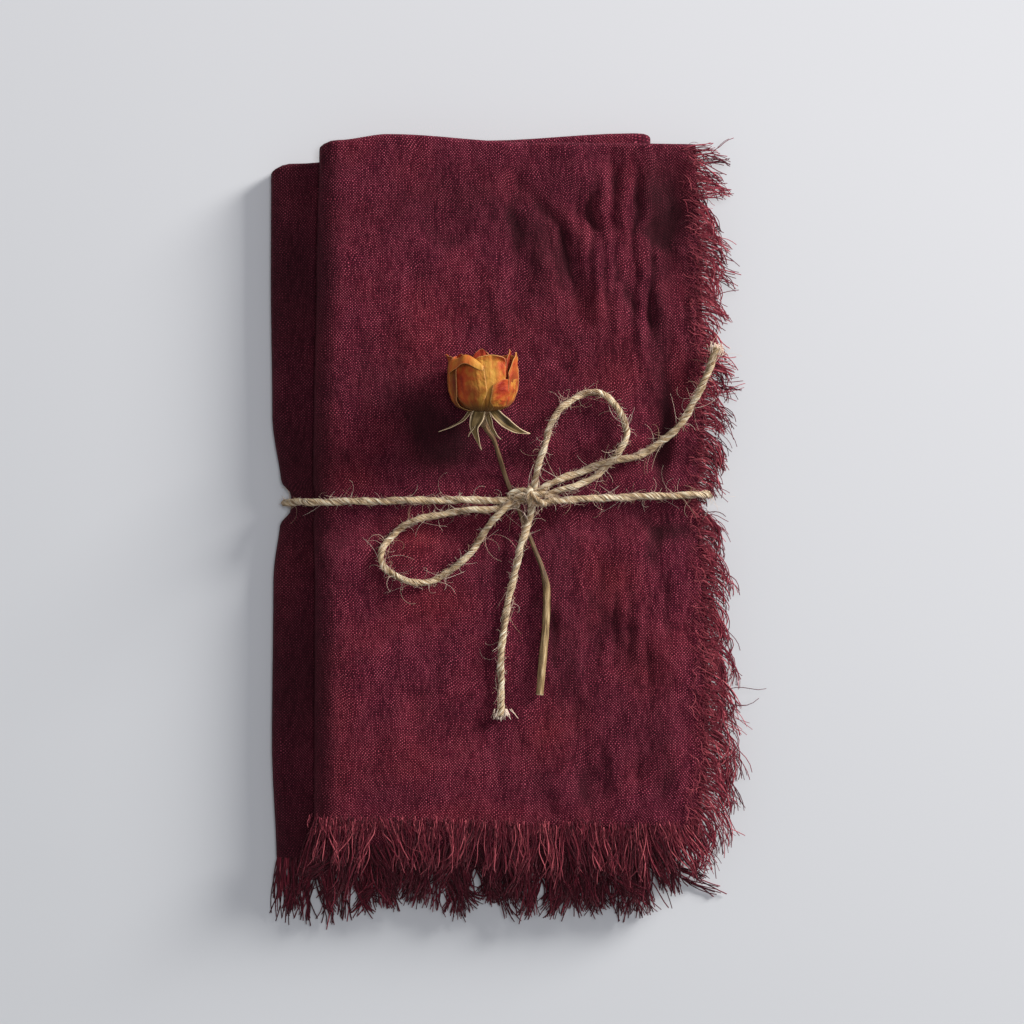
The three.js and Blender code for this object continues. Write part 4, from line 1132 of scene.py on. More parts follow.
# %% Build the napkin
def napkin_grid():
    """Columns follow the zigzag; rows go up the front, round the top edge in half a circle of
    the turn's radius, and down the back. The relief is added to the top panel only."""
    section, share = list_columns()
    along = along_zigzag(section, share)
    middle = tie_line(section_place(section, share, 0.0, np.full(share.shape, GROOVE["y"]))[0])
    turn = read_table(LENGTHS, along, TOP_EDGE) - TOP_TURN - corner_drop(section, share)
    front = layer_rows(along, FRONT_HEM, middle, turn, FRONT_ROWS)
    back = layer_rows(along, BACK_HEM, middle, turn, BACK_ROWS)[:, ::-1]
    angle = np.pi * np.arange(1, TURN_ROWS) / TURN_ROWS
    y = np.concatenate([front, turn + TOP_TURN * np.sin(angle), back], axis=1)
    side = np.concatenate([np.full(front.shape[1], 0.5), 0.5 * np.cos(angle),
                           np.full(back.shape[1], -0.5)])
    x, level = section_place(section, share, side, y)
    z = height_at(x, y, level) - roll_down(section, x, level, y)
    on_top = (section == 0) * smooth(share, 0.995, 0.93) * (0.8 + 0.4 * side)
    edge = smooth(along, 0.0, 0.02) * smooth(side, -0.5, 0.3)
    z = z + top_relief(x, y) * on_top * (0.35 + 0.65 * edge)
    return np.stack([x, y, z], axis=-1)


def walked(grid, axis):
    """Distance walked along one axis of a grid of points, averaged over the other."""
    steps = np.linalg.norm(np.diff(grid, axis=axis), axis=-1).mean(axis=1 - axis)
    return np.concatenate([[0], np.cumsum(steps)])


grid = napkin_grid()
across, upwards = walked(grid, 0), walked(grid, 1)
along_column = distance_along(grid)
cloth_uv = np.stack([across[:, None] + 0 * along_column, along_column], axis=-1) * MM
# Painted shade for the cloth, kept per point under the name dark.
dark = painted_shade(grid[..., 0], grid[..., 1])
red = patches(grid[..., 0], grid[..., 1], RED_PATCHES)
cloth_part = (grid[::-1], sheet_faces(*grid.shape[:2]),
              {"dark": dark[::-1].ravel(), "red": red[::-1].ravel()})
napkin = add_piece("linen_napkin", cloth_part, LINEN, ["napkin_cloth"],
                   uv=cloth_uv[::-1])
thicken(napkin, CLOTH_THICKNESS)
print("flat size", across[-1].round(), "by", upwards[-1].round(), "mm")

# %% [markdown]
# ## Frayed edges
# The edges were frayed by drawing out threads, which leaves the others loose. They gather in
# locks, curl, and lie over one another down to the table. Each thread is a thin tube that starts
# inside the cloth's edge, swings towards its lock's middle and waves a little, and follows the
# height of the layer it hangs from.

# %% The thread material
def thread_material():
    material, tree, shader = new_material("linen_thread", roughness=0.85, gloss=0.2, sheen=0.25,
                                          tint=paint(235, 145, 155))
    fine, coarse = fibres(tree, 0.00022)
    centred = work_out(tree, "SUBTRACT", fine, 0.5)
    streak = work_out(tree, "MULTIPLY_ADD", centred, 0.9, kept(tree, "tone"))
    colour = ramp(tree, streak, (0.0, paint(24, 4, 9)), (0.35, paint(68, 13, 27)),
                  (0.7, paint(122, 34, 51)), (1.0, paint(200, 98, 106)))
    put(tree, shader.inputs["Base Color"], colour)
    raise_surface(tree, shader, coarse, 0.00010)
    return material


THREAD = thread_material()

# %% Draw the threads
THREAD_STATIONS = 9
TOP_THREADS = 7.3
ON_TOP = 7.62


def gather(place, spacing, rng):
    """Each place along the edge joins the nearest of some uneven lock middles."""
    count = max(2, int((place.max() - place.min()) / spacing))
    middles = np.linspace(place.min(), place.max(), count)
    middles = middles + rng.uniform(-0.4, 0.4, count) * spacing
    lock = np.abs(place[:, None] - middles).argmin(axis=1)
    return lock, middles[lock], count


def thread_lines(x, y, level, heading, bend, length, rng, wave, follow=0.6, rise=0.0, hook=0.0,
                 pull_x=0.0, pull_y=0.0):
    """The heading is root heading + bend s + wave, with some more bend (hook) near the tip, and
    its steps are summed; pull moves the tip towards its lock's middle; z goes from the root's
    height part way to the layer's own."""
    threads = len(x)
    x, y, level, heading, bend, length, rise, pull_x, pull_y = (
        np.broadcast_to(value, threads)[:, None]
        for value in (x, y, level, heading, bend, length, rise, pull_x, pull_y))
    share = np.linspace(0, 1, THREAD_STATIONS)
    pitch = rng.uniform(0.6, 1.5, x.shape)
    sway = wave * rng.uniform(0.3, 1.3, x.shape)
    sway = sway * np.sin(2 * np.pi * (pitch * share + rng.uniform(0, 1, x.shape)))
    angle = heading + bend * share ** 1.2 + sway * smooth(share, 0, 0.3)
    angle = angle + hook * rng.normal(-0.5, 1, x.shape) * smooth(share, 0.55, 1)
    step = length / (THREAD_STATIONS - 1)
    x = x + np.cumsum(np.cos(angle) * step, axis=1) - np.cos(angle[:, :1]) * step
    y = y + np.cumsum(np.sin(angle) * step, axis=1) - np.sin(angle[:, :1]) * step
    x, y = x + pull_x * smooth(share, 0.2, 1), y + pull_y * smooth(share, 0.2, 1)
    z = height_at(x, y, level)
    z = z[:, :1] + follow * (z - z[:, :1])
    ripple = rng.normal(0, 0.25, rise.shape) * np.sin(np.pi * share * 1.5)
    z = z + (rise + ripple) * share
    on_panel = (level > TOP_THREADS) * smooth(x, 57, 54) * smooth(y, -89, -86)
    z = z + on_panel * np.maximum(0, top_relief(x, y))
    return np.stack([x, y, np.maximum(z, 0.3)], axis=-1)


def threads_part(lines, thick, low, high, rng):
    """Tubes that thin towards their tips; each keeps its tone and a place along its fibres."""
    radii = rng.uniform(*thick, len(lines))[:, None] * np.linspace(1, 0.65, THREAD_STATIONS)
    points, faces = thin_tubes(lines, radii)
    tone = low + (high - low) * rng.beta(2.0, 2.2, len(lines))
    walk = distance_along(lines)[..., None] + rng.uniform(0, 90, len(lines))[:, None, None]
    corner = np.broadcast_to(np.arange(3) * 0.2, (*walk.shape[:2], 3))
    place = np.stack([corner, corner * 0.5, np.broadcast_to(walk, corner.shape)], axis=-1)
    numbers = {"tone": np.repeat(tone, 3 * THREAD_STATIONS), "fibre": place.reshape(-1, 3) * MM}
    return points, faces, numbers


def add_threads(name, groups, replaced):
    """Joins groups of lines, each with its range of thickness and of tone."""
    parts = [threads_part(lines, thick, low, high, np.random.default_rng(900 + number))
             for number, (lines, thick, (low, high)) in enumerate(groups)]
    return add_piece(name, join_parts(parts), THREAD, replaced)


# %% The top layer's hem
def top_hem_threads(seed, count=430):
    """Combed strands of the top layer: thick, nearly parallel, meeting in locks at their tips."""
    rng = np.random.default_rng(seed)
    share = (np.arange(count) + rng.uniform(0, 1, count)) / count
    y = read_table(LENGTHS, share, FRONT_HEM) + 2.4 * rng.uniform(-0.3, 1, count)
    x, _ = section_place(np.zeros(count, int), 0.004 + 1.03 * share, 0.5, y)
    lock, middle, locks = gather(x, 5.4, rng)
    fan = 34 * smooth(x, 30, 54) - 9 * smooth(-x, 48, 60)
    heading = np.radians(-90 + fan + rng.normal(0, 6, locks)[lock] + rng.normal(0, 2.4, count))
    bend = rng.normal(0, 0.2, locks)[lock] + rng.normal(0, 0.1, count)
    length = (13.6 + 1.6 * smooth(x, 20, 50)) * rng.uniform(0.88, 1.12, locks)[lock]
    length = length * rng.normal(1, 0.07, count)
    pull = rng.uniform(0.45, 0.9, count) * (middle - x)
    return thread_lines(x, y, 7.66, heading, bend, length, rng, wave=0.3, hook=0.3, pull_x=pull)


def short_hem_threads(seed, count=620):
    """Short broken ends that blur the line where the weave stops."""
    rng = np.random.default_rng(seed)
    x = rng.uniform(-57, 56, count)
    share = np.clip((55 - x) / 111, 0, 1)
    y = read_table(LENGTHS, share, FRONT_HEM) + rng.uniform(-1.2, 3.4, count)
    heading = np.radians(-90 + rng.normal(0, 17, count))
    length = rng.uniform(1.4, 4.2, count)
    bend = rng.normal(0, 0.4, count)
    rise = rng.uniform(0, 0.7, count)
    return thread_lines(x, y, ON_TOP, heading, bend, length, rng, wave=0.3, rise=rise)


# %% The lower layers' hems
SECTION_SPANS = (109, 14, 96, 8, 110, 16, 108)
THREADS_PER_MM = (2.4, 2.8, 2.1, 1.7, 2.0, 2.6, 2.0)
LOWEST_TIP = 115.4


def lower_hem_threads(side, hem_column, seed, first):
    """Threads of the layers below, in wider locks whose lengths differ more; first is how much
    of the top panel they leave out."""
    rng = np.random.default_rng(seed)
    spans = np.array(SECTION_SPANS) * [1 - first, 1, 1, 1, 1, 1, 1]
    counts = (spans * THREADS_PER_MM).astype(int)
    section = np.repeat(np.arange(7), counts)
    share = np.concatenate([(np.arange(count) + rng.uniform(0, 1, count)) / count
                            for count in counts])
    y = read_table(LENGTHS, along_zigzag(section, share), hem_column)
    y = y + rng.uniform(0.2, 1.6, len(y))
    x, level = section_place(section, share, side, y)
    walk = np.cumsum(np.abs(np.diff(x, prepend=x[0])) + 0.01)
    lock, middle, locks = gather(walk, 6.6, rng)
    towards = (middle - walk) * np.where(section % 4 == 0, -1, 1)
    towards = np.clip(towards, -4, 4) * (section % 2 == 0)
    fan = 38 * smooth(x, 22, 50) - 6 * smooth(-x, 52, 66)
    loose = 1 - 0.8 * smooth(-x, 50, 60)
    heading = np.radians(-90 + fan + rng.normal(0, 15, locks)[lock] * loose
                         + rng.normal(0, 2.5, len(x)))
    bend = (rng.normal(0, 0.5, locks)[lock] + rng.normal(0, 0.12, len(x))) * loose
    length = 16.8 * rng.uniform(0.64, 1.16, locks)[lock] * rng.normal(1, 0.05, len(x))
    length = np.minimum(length, (y + LOWEST_TIP) / 0.93)
    rise = rng.uniform(-0.2, 1.4, locks)[lock]
    return thread_lines(x, y, level, heading, bend, length, rng, wave=0.13, follow=1.0,
                        rise=rise, hook=0.2, pull_x=towards)


# %% The side fringes
def side_sweep(y):
    """Root heading in degrees and bend in radians: level at the top, combed down lower down."""
    heading = 10 * smooth(y, 92, 109) - 6 - 8 * smooth(-y, -40, 60) - 26 * smooth(-y, 66, 90)
    bend = -0.95 - 0.6 * smooth(-y, -50, 20) + 0.35 * smooth(y, 92, 108) + 0.3 * smooth(-y, 70, 90)
    return heading, bend


def side_threads(edge, level, hem_column, spacing, inside, grow, seed):
    """Threads along a frayed side edge, in locks, shorter beside the twine."""
    rng = np.random.default_rng(seed)
    hem = read_table(LENGTHS, float(edge), hem_column)
    top = read_table(LENGTHS, float(edge), TOP_EDGE) - 0.8
    count = int((top - hem) / spacing)
    y = np.linspace(hem + 0.4, top, count) + rng.uniform(-0.4, 0.4, count)
    x = line_at(edge, y) - rng.uniform(*inside, count)
    x = x - 3.5 * smooth(y, 99, 108) * rng.uniform(0, 1, count)
    lock, middle, locks = gather(y, 4.2, rng)
    sweep, curl = side_sweep(y)
    heading = np.radians(sweep + rng.normal(0, 9, locks)[lock] + rng.normal(0, 3, count))
    bend = curl + rng.normal(0, 0.4, locks)[lock] + rng.normal(0, 0.13, count)
    away = smooth(np.abs(y - tie_line(x)), 0.5, 5)
    length = (9.8 + 5.0 * smooth(-y, 0, 50)) * (0.4 + 0.6 * away) * grow
    length = length * rng.uniform(0.7, 1.2, locks)[lock] * rng.normal(1, 0.07, count)
    pull = rng.uniform(0.45, 0.85, count) * (middle - y)
    rise = rng.uniform(-0.6, 0.8, locks)[lock]
    return thread_lines(x, y, level, heading, bend, length, rng, wave=0.22, rise=rise, hook=0.35,
                        pull_y=pull)


def side_fluff(seed, count=1150):
    """Short curled ends over the last rows of the weave, where it has come loose."""
    rng = np.random.default_rng(seed)
    y = rng.uniform(-84, 108.5, count)
    x = line_at(0, y) - 6.0 + 7.0 * rng.beta(2.2, 1.5, count)
    heading = np.radians(side_sweep(y)[0] + rng.normal(-12, 26, count))
    bend = rng.normal(-0.5, 0.4, count)
    away = smooth(np.abs(y - tie_line(x)), 0.8, 3)
    length = rng.uniform(1.8, 6.0, count) * (0.4 + 0.6 * away)
    rise = rng.uniform(0, 1.3, count)
    return thread_lines(x, y, ON_TOP, heading, bend, length, rng, wave=0.5, rise=rise)


STRAYS = np.array([
    # place up the edge, heading in degrees, bend, length
    (106.5, 16, 0.3, 12), (107.6, 6, 0.5, 13), (78, 8, -0.7, 13), (66, -6, 0.5, 12),
    (34.5, -14, -1.0, 14), (33.6, -22, -0.8, 15), (32, -30, -0.5, 13), (4.5, 4, -0.5, 9),
    (2.6, 24, -1.0, 9.5), (1.2, 16, -1.5, 12), (-0.2, 6, -1.9, 14), (-1.6, 2, -2.3, 15),
    (-3.0, -6, -2.0, 14), (-4.6, -10, -1.4, 13), (-46, -18, 0.6, 18), (-47, -30, 1.0, 17),
    (-58, -34, -0.8, 17), (-70, -52, 0.3, 15),
])


def stray_threads(seed):
    """A few long single threads that curl away from the edge."""
    rng = np.random.default_rng(seed)
    y, heading, bend, length = STRAYS.T
    x = line_at(0, y) - 0.8
    rise = rng.uniform(-1, 0.5, len(y))
    return thread_lines(x, y, ON_TOP, np.radians(heading), bend, length, rng, wave=0.35,
                        follow=0.5, rise=rise)


# %% Put the fringes on
# Painted shade: the lower layers' threads get darker ranges of tone than the top layer's, as if
# shaded by the layers above.
fringes = [
    add_threads("threads_hem_front", [
        (top_hem_threads(100), (0.13, 0.21), (0.0, 1.15)),
        (short_hem_threads(101), (0.09, 0.15), (0.2, 0.9)),
        (lower_hem_threads(0.5, FRONT_HEM, 102, 0.999), (0.2, 0.3), (0.0, 0.78)),
    ], ["fringe_hem_front"]),
    add_threads("threads_hem_back", [
        (lower_hem_threads(-0.5, BACK_HEM, 200, 0.0), (0.2, 0.3), (0.0, 0.7)),
    ], ["fringe_hem_back"]),
    add_threads("threads_side_outer", [
        (side_threads(0, 7.3, FRONT_HEM, 0.27, (0.0, 1.6), 1.0, 300), (0.14, 0.22), (0.3, 1.05)),
        (side_threads(0, 6.0, BACK_HEM, 0.32, (0.4, 2.0), 1.05, 310), (0.15, 0.22), (0.1, 0.85)),
        (side_fluff(320), (0.07, 0.13), (0.25, 1.0)),
        (stray_threads(330), (0.13, 0.19), (0.2, 0.7)),
    ], ["fringe_side_outer"]),
    add_threads("threads_side_inner", [
        (side_threads(4, 1.0, FRONT_HEM, 0.75, (0.4, 1.6), 0.9, 400), (0.15, 0.22), (0.0, 0.5)),
        (side_threads(4, 0.2, BACK_HEM, 0.75, (0.4, 1.6), 0.9, 410), (0.15, 0.22), (0.0, 0.5)),
    ], ["fringe_side_inner"]),
]

# %% [markdown]
# ## The dried rosebud
# The bud lies on its side with its open end up the napkin. Each petal is a curved sheet: its
# middle line follows the cup's outline, it wraps part of the way round, one edge tucked in and
# the other out, and its lip may roll back. Dried petals are ochre and rust and paler along their
# thin edges; the throat, the lines between petals and the line under a rolled lip are darkened as
# painted shade. So each point keeps how red, how shaded and how near a rim it is.

# %% The petal material
def petal_material():
    material, tree, shader = new_material("dried_petal", roughness=0.6, gloss=0.18, sheen=0.1,
                                          tint=paint(255, 205, 150))
    fine, coarse = fibres(tree, 0.0008)
    spots = clouds(tree, kept(tree, "fibre", "Vector"), 0.0020, 4.0)
    red = work_out(tree, "ADD", kept(tree, "red"), spread(tree, spots, 0.35, 0.65, -0.2, 0.2))
    colour = ramp(tree, red, (0.0, paint(200, 146, 60)), (0.3, paint(188, 114, 44)),
                  (0.65, paint(182, 74, 32)), (1.0, paint(146, 38, 20)))
    # Painted shade: darkens the throat, the slit and the lines between petals.
    colour = mix(tree, kept(tree, "shaded"), colour, paint(66, 12, 9))
    colour = mix(tree, kept(tree, "brown"), colour, paint(92, 62, 26))
    veins = spread(tree, fine, 0.4, 0.7, 0.0, 0.42)
    colour = mix(tree, veins, colour, mix(tree, 1.0, colour, paint(196, 150, 112), "MULTIPLY"))
    colour = mix(tree, kept(tree, "rim"), colour, paint(228, 174, 112))
    put(tree, shader.inputs["Base Color"], colour)
    raise_surface(tree, shader, work_out(tree, "MULTIPLY_ADD", spots, 1.5, coarse), 0.00035)
    return material


PETAL = petal_material()

# %% Shape of a petal
BUD = {"x": -7.1, "base": 32.9, "z": 24.9, "flatten": 0.88, "fall": 0.5}
CUP = np.array([(0.0, 2.2), (0.4, 5.0), (1.4, 7.4), (3.2, 8.9), (6.2, 9.9), (10.2, 10.1),
                (13.8, 9.9), (18.0, 9.5)])
PETALS = [
    # name, angle, half span, scale, length, roll, roll radius, tuck, ragged, peak, lean, red,
    # shade
    ("under_left", 232, 46, 0.97, 14.6, 40, 2.0, 0.05, 0.3, 0.0, 0, 0.55, 0.0),
    ("under_right", 308, 50, 0.96, 14.8, 40, 2.0, 0.05, 0.3, 0.0, 0, 0.50, 0.0),
    ("left_wrap", 170, 33, 1.00, 14.4, 85, 1.5, -0.02, 0.3, 0.4, 0, 0.45, 0.0),
    ("right_back", 10, 33, 0.985, 14.6, 40, 2.0, 0.02, 0.3, 1.2, 0, 0.62, 0.0),
    ("middle", 78, 31, 0.95, 14.0, 75, 1.7, 0.01, 0.5, 0.2, 0, 0.10, 0.0),
    ("front_right", 36, 40, 1.00, 8.7, 25, 1.6, 0.025, 0.12, -0.7, -4, 0.22, 0.0),
    ("front_left", 118, 34, 0.985, 12.9, 205, 2.3, -0.04, 0.5, 0.1, 13, 0.46, 0.0),
    ("slit", 47, 24, 0.88, 14.4, 20, 1.6, -0.01, 0.3, 0.4, 0, 0.95, 0.65),
    ("inner_right", 20, 26, 0.84, 15.4, 30, 1.8, 0.06, 0.5, 1.3, 0, 0.85, 0.15),
    ("inner_top", 92, 26, 0.82, 15.9, 45, 1.4, 0.05, 0.6, 1.2, 0, 0.80, 0.1),
    ("inner_left", 140, 34, 0.78, 15.0, 40, 1.6, 0.06, 0.5, 0.3, 0, 0.70, 0.2),
    ("inner_under", 255, 80, 0.74, 14.2, 20, 1.6, 0.06, 0.5, 0.0, 0, 0.80, 0.5),
    ("heart_a", 60, 80, 0.60, 15.2, 15, 1.5, 0.20, 0.4, 0.4, 0, 0.85, 0.4),
    ("heart_b", 190, 80, 0.52, 14.8, 10, 1.5, 0.22, 0.4, 0.3, 0, 0.85, 0.6),
    ("heart_c", 320, 80, 0.38, 14.4, 10, 1.5, 0.30, 0.4, 0.2, 0, 0.90, 0.6),
    ("heart_d", 100, 95, 0.22, 14.2, 0, 1.5, 0.45, 0.3, 0.2, 0, 0.90, 0.7),
]
SPOTS = {
    # kind, a, t, half width, half length, amount: a runs from right to left, t from base to lip
    # Painted shade: the darkest spots paint lines beside petal edges and a line under the front
    # left petal's rolled lip, with a brown line beside it.
    "front_left": [("red", 0.45, 0.5, 0.42, 0.28, 0.45), ("red", -0.85, 0.5, 0.3, 0.9, -0.4),
                   ("brown", -0.3, 0.3, 0.45, 0.2, 0.5), ("brown", 0.95, 0.3, 0.2, 0.3, 0.4),
                   ("red", 0.0, 0.98, 2.0, 0.12, -0.1), ("brown", 0.0, 0.81, 0.9, 0.03, 0.5),
                   ("shaded", 0.0, 0.79, 2.0, 0.025, 0.5), ("shaded", 1.0, 0.4, 0.06, 0.5, 0.7)],
    "front_right": [("red", 0.52, 0.74, 0.36, 0.3, 0.8), ("red", 0.2, 0.35, 0.4, 0.3, 0.3),
                    ("brown", 0.97, 0.5, 0.12, 0.5, 0.5)],
    "middle": [("shaded", 0.24, 0.35, 0.1, 0.4, 0.65), ("shaded", -0.1, 0.15, 0.12, 0.32, 0.7),
               ("red", 0.2, 0.5, 0.5, 0.3, -0.2), ("red", -0.8, 0.8, 0.35, 0.4, 0.5),
               ("red", 0.0, 0.95, 2.0, 0.08, 0.2)],
    "left_wrap": [("red", 0.0, 0.92, 2.0, 0.12, 0.3), ("shaded", -0.85, 0.5, 0.3, 0.5, 0.8)],
    "right_back": [("shaded", 0.6, 0.55, 0.5, 0.2, 0.6), ("red", 0.0, 0.98, 1.0, 0.06, -0.4)],
}
PETAL_GRID = (45, 46)
PETAL_THICKNESS = 0.2


def petal_surface(seed, angle, span, scale, length, roll, roll_radius, tuck, ragged, peak, lean):
    """theta = angle + span a w(t) + lean t and radius = scale cup(length t) (1 + tuck a) up to
    the lip; past it both follow a circle, smaller at the corners: radius + R (1 - cos f) and
    along + R sin f."""
    rng = np.random.default_rng(seed)
    a = np.linspace(-1, 1, PETAL_GRID[0])[:, None]
    t = np.linspace(0, 1, PETAL_GRID[1])[None]
    wide = 0.55 + 0.45 * smooth(t, 0, 0.4)
    theta = np.radians(angle + span * a * wide + lean * (t - 0.5))
    waves = sum(rng.normal(0, 1.5 / k) * np.sin(k * a * 2.3 + rng.uniform(0, 6.3))
                for k in range(1, 7))
    corner = 0.26 if roll < 60 else 0.09
    reach = length * (1 - corner * np.abs(a) ** 3) + ragged * 0.4 * waves
    reach = reach + peak * (np.exp(-(a / 0.3) ** 2) - 0.25)
    lip = 0.8 if roll > 60 else 0.88
    fall = smooth(t, lip, 1.0) * np.radians(roll) * (1 + 0.15 * np.sin(3 * a + rng.uniform(0, 6)))
    along = reach * np.minimum(t / lip, 1)
    curl = roll_radius * (1 - 0.6 * np.abs(a) ** 4)
    radius = scale * np.interp(along, CUP[:, 0], CUP[:, 1]) * (1 + tuck * a)
    wrinkle = 0.10 * np.sin(9 * theta + 2.2 * t + rng.uniform(0, 6)) * smooth(t, 0.25, 0.8)
    wrinkle = wrinkle + 0.10 * np.sin(26 * theta - 5 * t + rng.uniform(0, 6)) * t
    radius = radius + wrinkle + 0.05 * np.sin(11 * t + 7 * a)
    radius = radius + BUD["fall"] * curl * (1 - np.cos(fall)) * (1 + 0.2 * waves)
    along = along + curl * np.sin(fall) * (1 + 0.15 * np.sin(5 * a + seed))
    x = BUD["x"] + radius * np.cos(theta)
    z = BUD["z"] + BUD["flatten"] * radius * np.sin(theta)
    return np.stack([x, BUD["base"] + along, z], axis=-1), a + 0 * t, t + 0 * a


def petal_numbers(a, t, red, shaded, name):
    """How red, how darkened by painted shade, how brown and how pale each point is: a start
    value plus soft spots of a and t.
    """
    found = {
        "red": red + 0.25 * smooth(t, 0.85, 1.0) * (shaded > 0),
        "shaded": shaded * (1 - 0.8 * smooth(t, 0.8, 1.0)),
        "brown": 0.9 * (1 - smooth(t, 0.02, 0.24)),
    }
    for kind, middle, high, wide, long, amount in SPOTS.get(name, []):
        spot = np.exp(-((a - middle) / wide) ** 2 - ((t - high) / long) ** 2)
        found[kind] = found[kind] + amount * spot
    found = {kind: np.clip(values, 0, 1) for kind, values in found.items()}
    found["rim"] = 0.5 * np.maximum(smooth(np.abs(a), 0.96, 1.0), smooth(t, 0.98, 1.0))
    return found


def petal_part(number, name, shape, red, shaded):
    """One petal, whose fibres run from base to lip in a place of their own."""
    surface, a, t = petal_surface(500 + number, *shape)
    found = petal_numbers(a, t, red, shaded, name)
    numbers = {key: (values + 0 * t).ravel() for key, values in found.items()}
    place = np.stack([a * 6 + number * 9, 0 * a, t * 15], axis=-1) * MM
    numbers["fibre"] = place.reshape(-1, 3)
    faces = [part[:, ::-1] for part in sheet_faces(*PETAL_GRID)]
    return surface.reshape(-1, 3), faces, numbers


def bud_piece():
    parts = [petal_part(number, name, shape, red, shaded)
             for number, (name, *shape, red, shaded) in enumerate(PETALS)]
    piece = add_piece("rosebud_petals", join_parts(parts), PETAL, ["rosebud"])
    thicken(piece, PETAL_THICKNESS, -1.0)


bud_piece()

# %% [markdown]
# ## Sepals, calyx and stem
# The sepals are thin dry blades, olive inside with pale edges, that twist as they hang back from
# the bud. Each is a sheet across a curved middle line, slightly cupped and turned as it goes. The
# stem is a ridged tube with a swollen node, darker above it than below.

# %% The leaf and stem materials
def leaf_material():
    material, tree, shader = new_material("dried_leaf", roughness=0.6, gloss=0.25, sheen=0.05,
                                          tint=paint(240, 230, 200))
    streak = both_streaks(tree, 0.0004, 0.75, 1.25)
    colour = ramp(tree, streak, (0.0, paint(60, 46, 24)), (0.5, paint(114, 92, 54)),
                  (1.0, paint(168, 142, 96)))
    colour = mix(tree, kept(tree, "rim"), colour, paint(240, 212, 172))
    put(tree, shader.inputs["Base Color"], colour)
    raise_surface(tree, shader, streak, 0.0001)
    return material


def stem_material():
    material, tree, shader = new_material("dried_stem", roughness=0.6, gloss=0.35, sheen=0.1,
                                          tint=paint(240, 220, 190))
    streak = both_streaks(tree, 0.0003, 0.75, 1.25)
    dark = ramp(tree, streak, (0.0, paint(64, 44, 28)), (1.0, paint(132, 104, 72)))
    pale = ramp(tree, streak, (0.0, paint(96, 74, 46)), (0.6, paint(158, 130, 88)),
                (1.0, paint(202, 176, 134)))
    colour = mix(tree, kept(tree, "pale"), dark, pale)
    colour = mix(tree, kept(tree, "cut"), colour, paint(222, 200, 160))
    put(tree, shader.inputs["Base Color"], colour)
    raise_surface(tree, shader, streak, 0.00016)
    return material


LEAF = leaf_material()
STEM = stem_material()

# %% Sepals
SEPALS = [
    # middle line, width at even shares of its length, turn at start and end in degrees, cup
    ([(-10.4, 33.6, 24.2), (-12.6, 30.7, 24.8), (-16.1, 28.7, 23.2), (-19.7, 27.4, 20.4)],
     (1.2, 0.8, 0.55, 0.45, 0.4, 0.15), 10, 80, 0.4),
    ([(-8.0, 33.6, 26.4), (-8.8, 30.9, 27.4), (-9.5, 28.7, 26.8), (-8.9, 26.2, 25.4),
      (-7.5, 22.2, 23.0)], (3.2, 3.9, 2.6, 1.5, 1.0, 0.2), -6, 60, 0.4),
    ([(-9.3, 29.4, 26.8), (-10.0, 28.0, 26.6), (-10.8, 26.9, 26.1), (-11.2, 25.9, 25.6)],
     (1.0, 0.7, 0.5, 0.4, 0.3, 0.1), 20, 70, 0.3),
    ([(-5.9, 33.2, 25.6), (-5.1, 30.4, 26.0), (-4.4, 28.2, 25.4), (-3.4, 26.6, 24.4),
      (-2.0, 25.2, 23.0)], (1.5, 1.7, 1.5, 1.2, 0.8, 0.2), 15, 60, 0.5),
    ([(-4.9, 34.0, 25.8), (-2.3, 31.2, 27.4), (0.7, 28.9, 26.6), (3.2, 27.6, 24.8),
      (6.3, 26.8, 22.6)], (1.8, 2.8, 2.9, 2.2, 1.2, 0.15), -12, 35, 0.35),
]
LEAF_GRID = (11, 36)
LEAF_THICKNESS = 0.18


def sepal_surface(route, widths, first_turn, last_turn, cup):
    """point = middle + v (cos turn side + sin turn up) - cup v squared up, |v| < half width."""
    line, _ = smooth_route(route, 0.1)
    line = line[np.linspace(0, len(line) - 1, LEAF_GRID[1]).round().astype(int)]
    _, side, up = frame_along(line, UPWARDS)
    share = np.linspace(0, 1, LEAF_GRID[1])
    half = 0.5 * np.interp(share, np.linspace(0, 1, len(widths)), widths)
    turn = np.radians(first_turn + (last_turn - first_turn) * share ** 1.4)
    across = np.linspace(-1, 1, LEAF_GRID[0])[:, None, None]
    lean = circle(turn, side, up)
    rise = np.cos(turn)[:, None] * up - np.sin(turn)[:, None] * side
    ruffle = 0.16 * np.sin(share * 17)[:, None] * across
    points = line + half[:, None] * (across * lean + (cup * across ** 2 + ruffle) * rise)
    return points, across[..., 0] + 0 * share, share + 0 * across[..., 0]


def sepal_part(number, shape):
    """One sepal, pale along its rim and at its tip."""
    surface, a, t = sepal_surface(*shape)
    rim = 0.9 * np.maximum(smooth(np.abs(a), 0.8, 1.0), smooth(t, 0.8, 1.0))
    place = np.stack([a + 5 * number, 0 * a, t * 9], axis=-1).reshape(-1, 3) * MM
    faces = [part[:, ::-1] for part in sheet_faces(*LEAF_GRID)]
    return surface.reshape(-1, 3), faces, {"rim": rim.ravel(), "fibre": place}


def sepals_piece():
    parts = [sepal_part(number, shape) for number, shape in enumerate(SEPALS)]
    piece = add_piece("rose_sepals", join_parts(parts), LEAF, ["sepals"])
    thicken(piece, LEAF_THICKNESS)


sepals_piece()

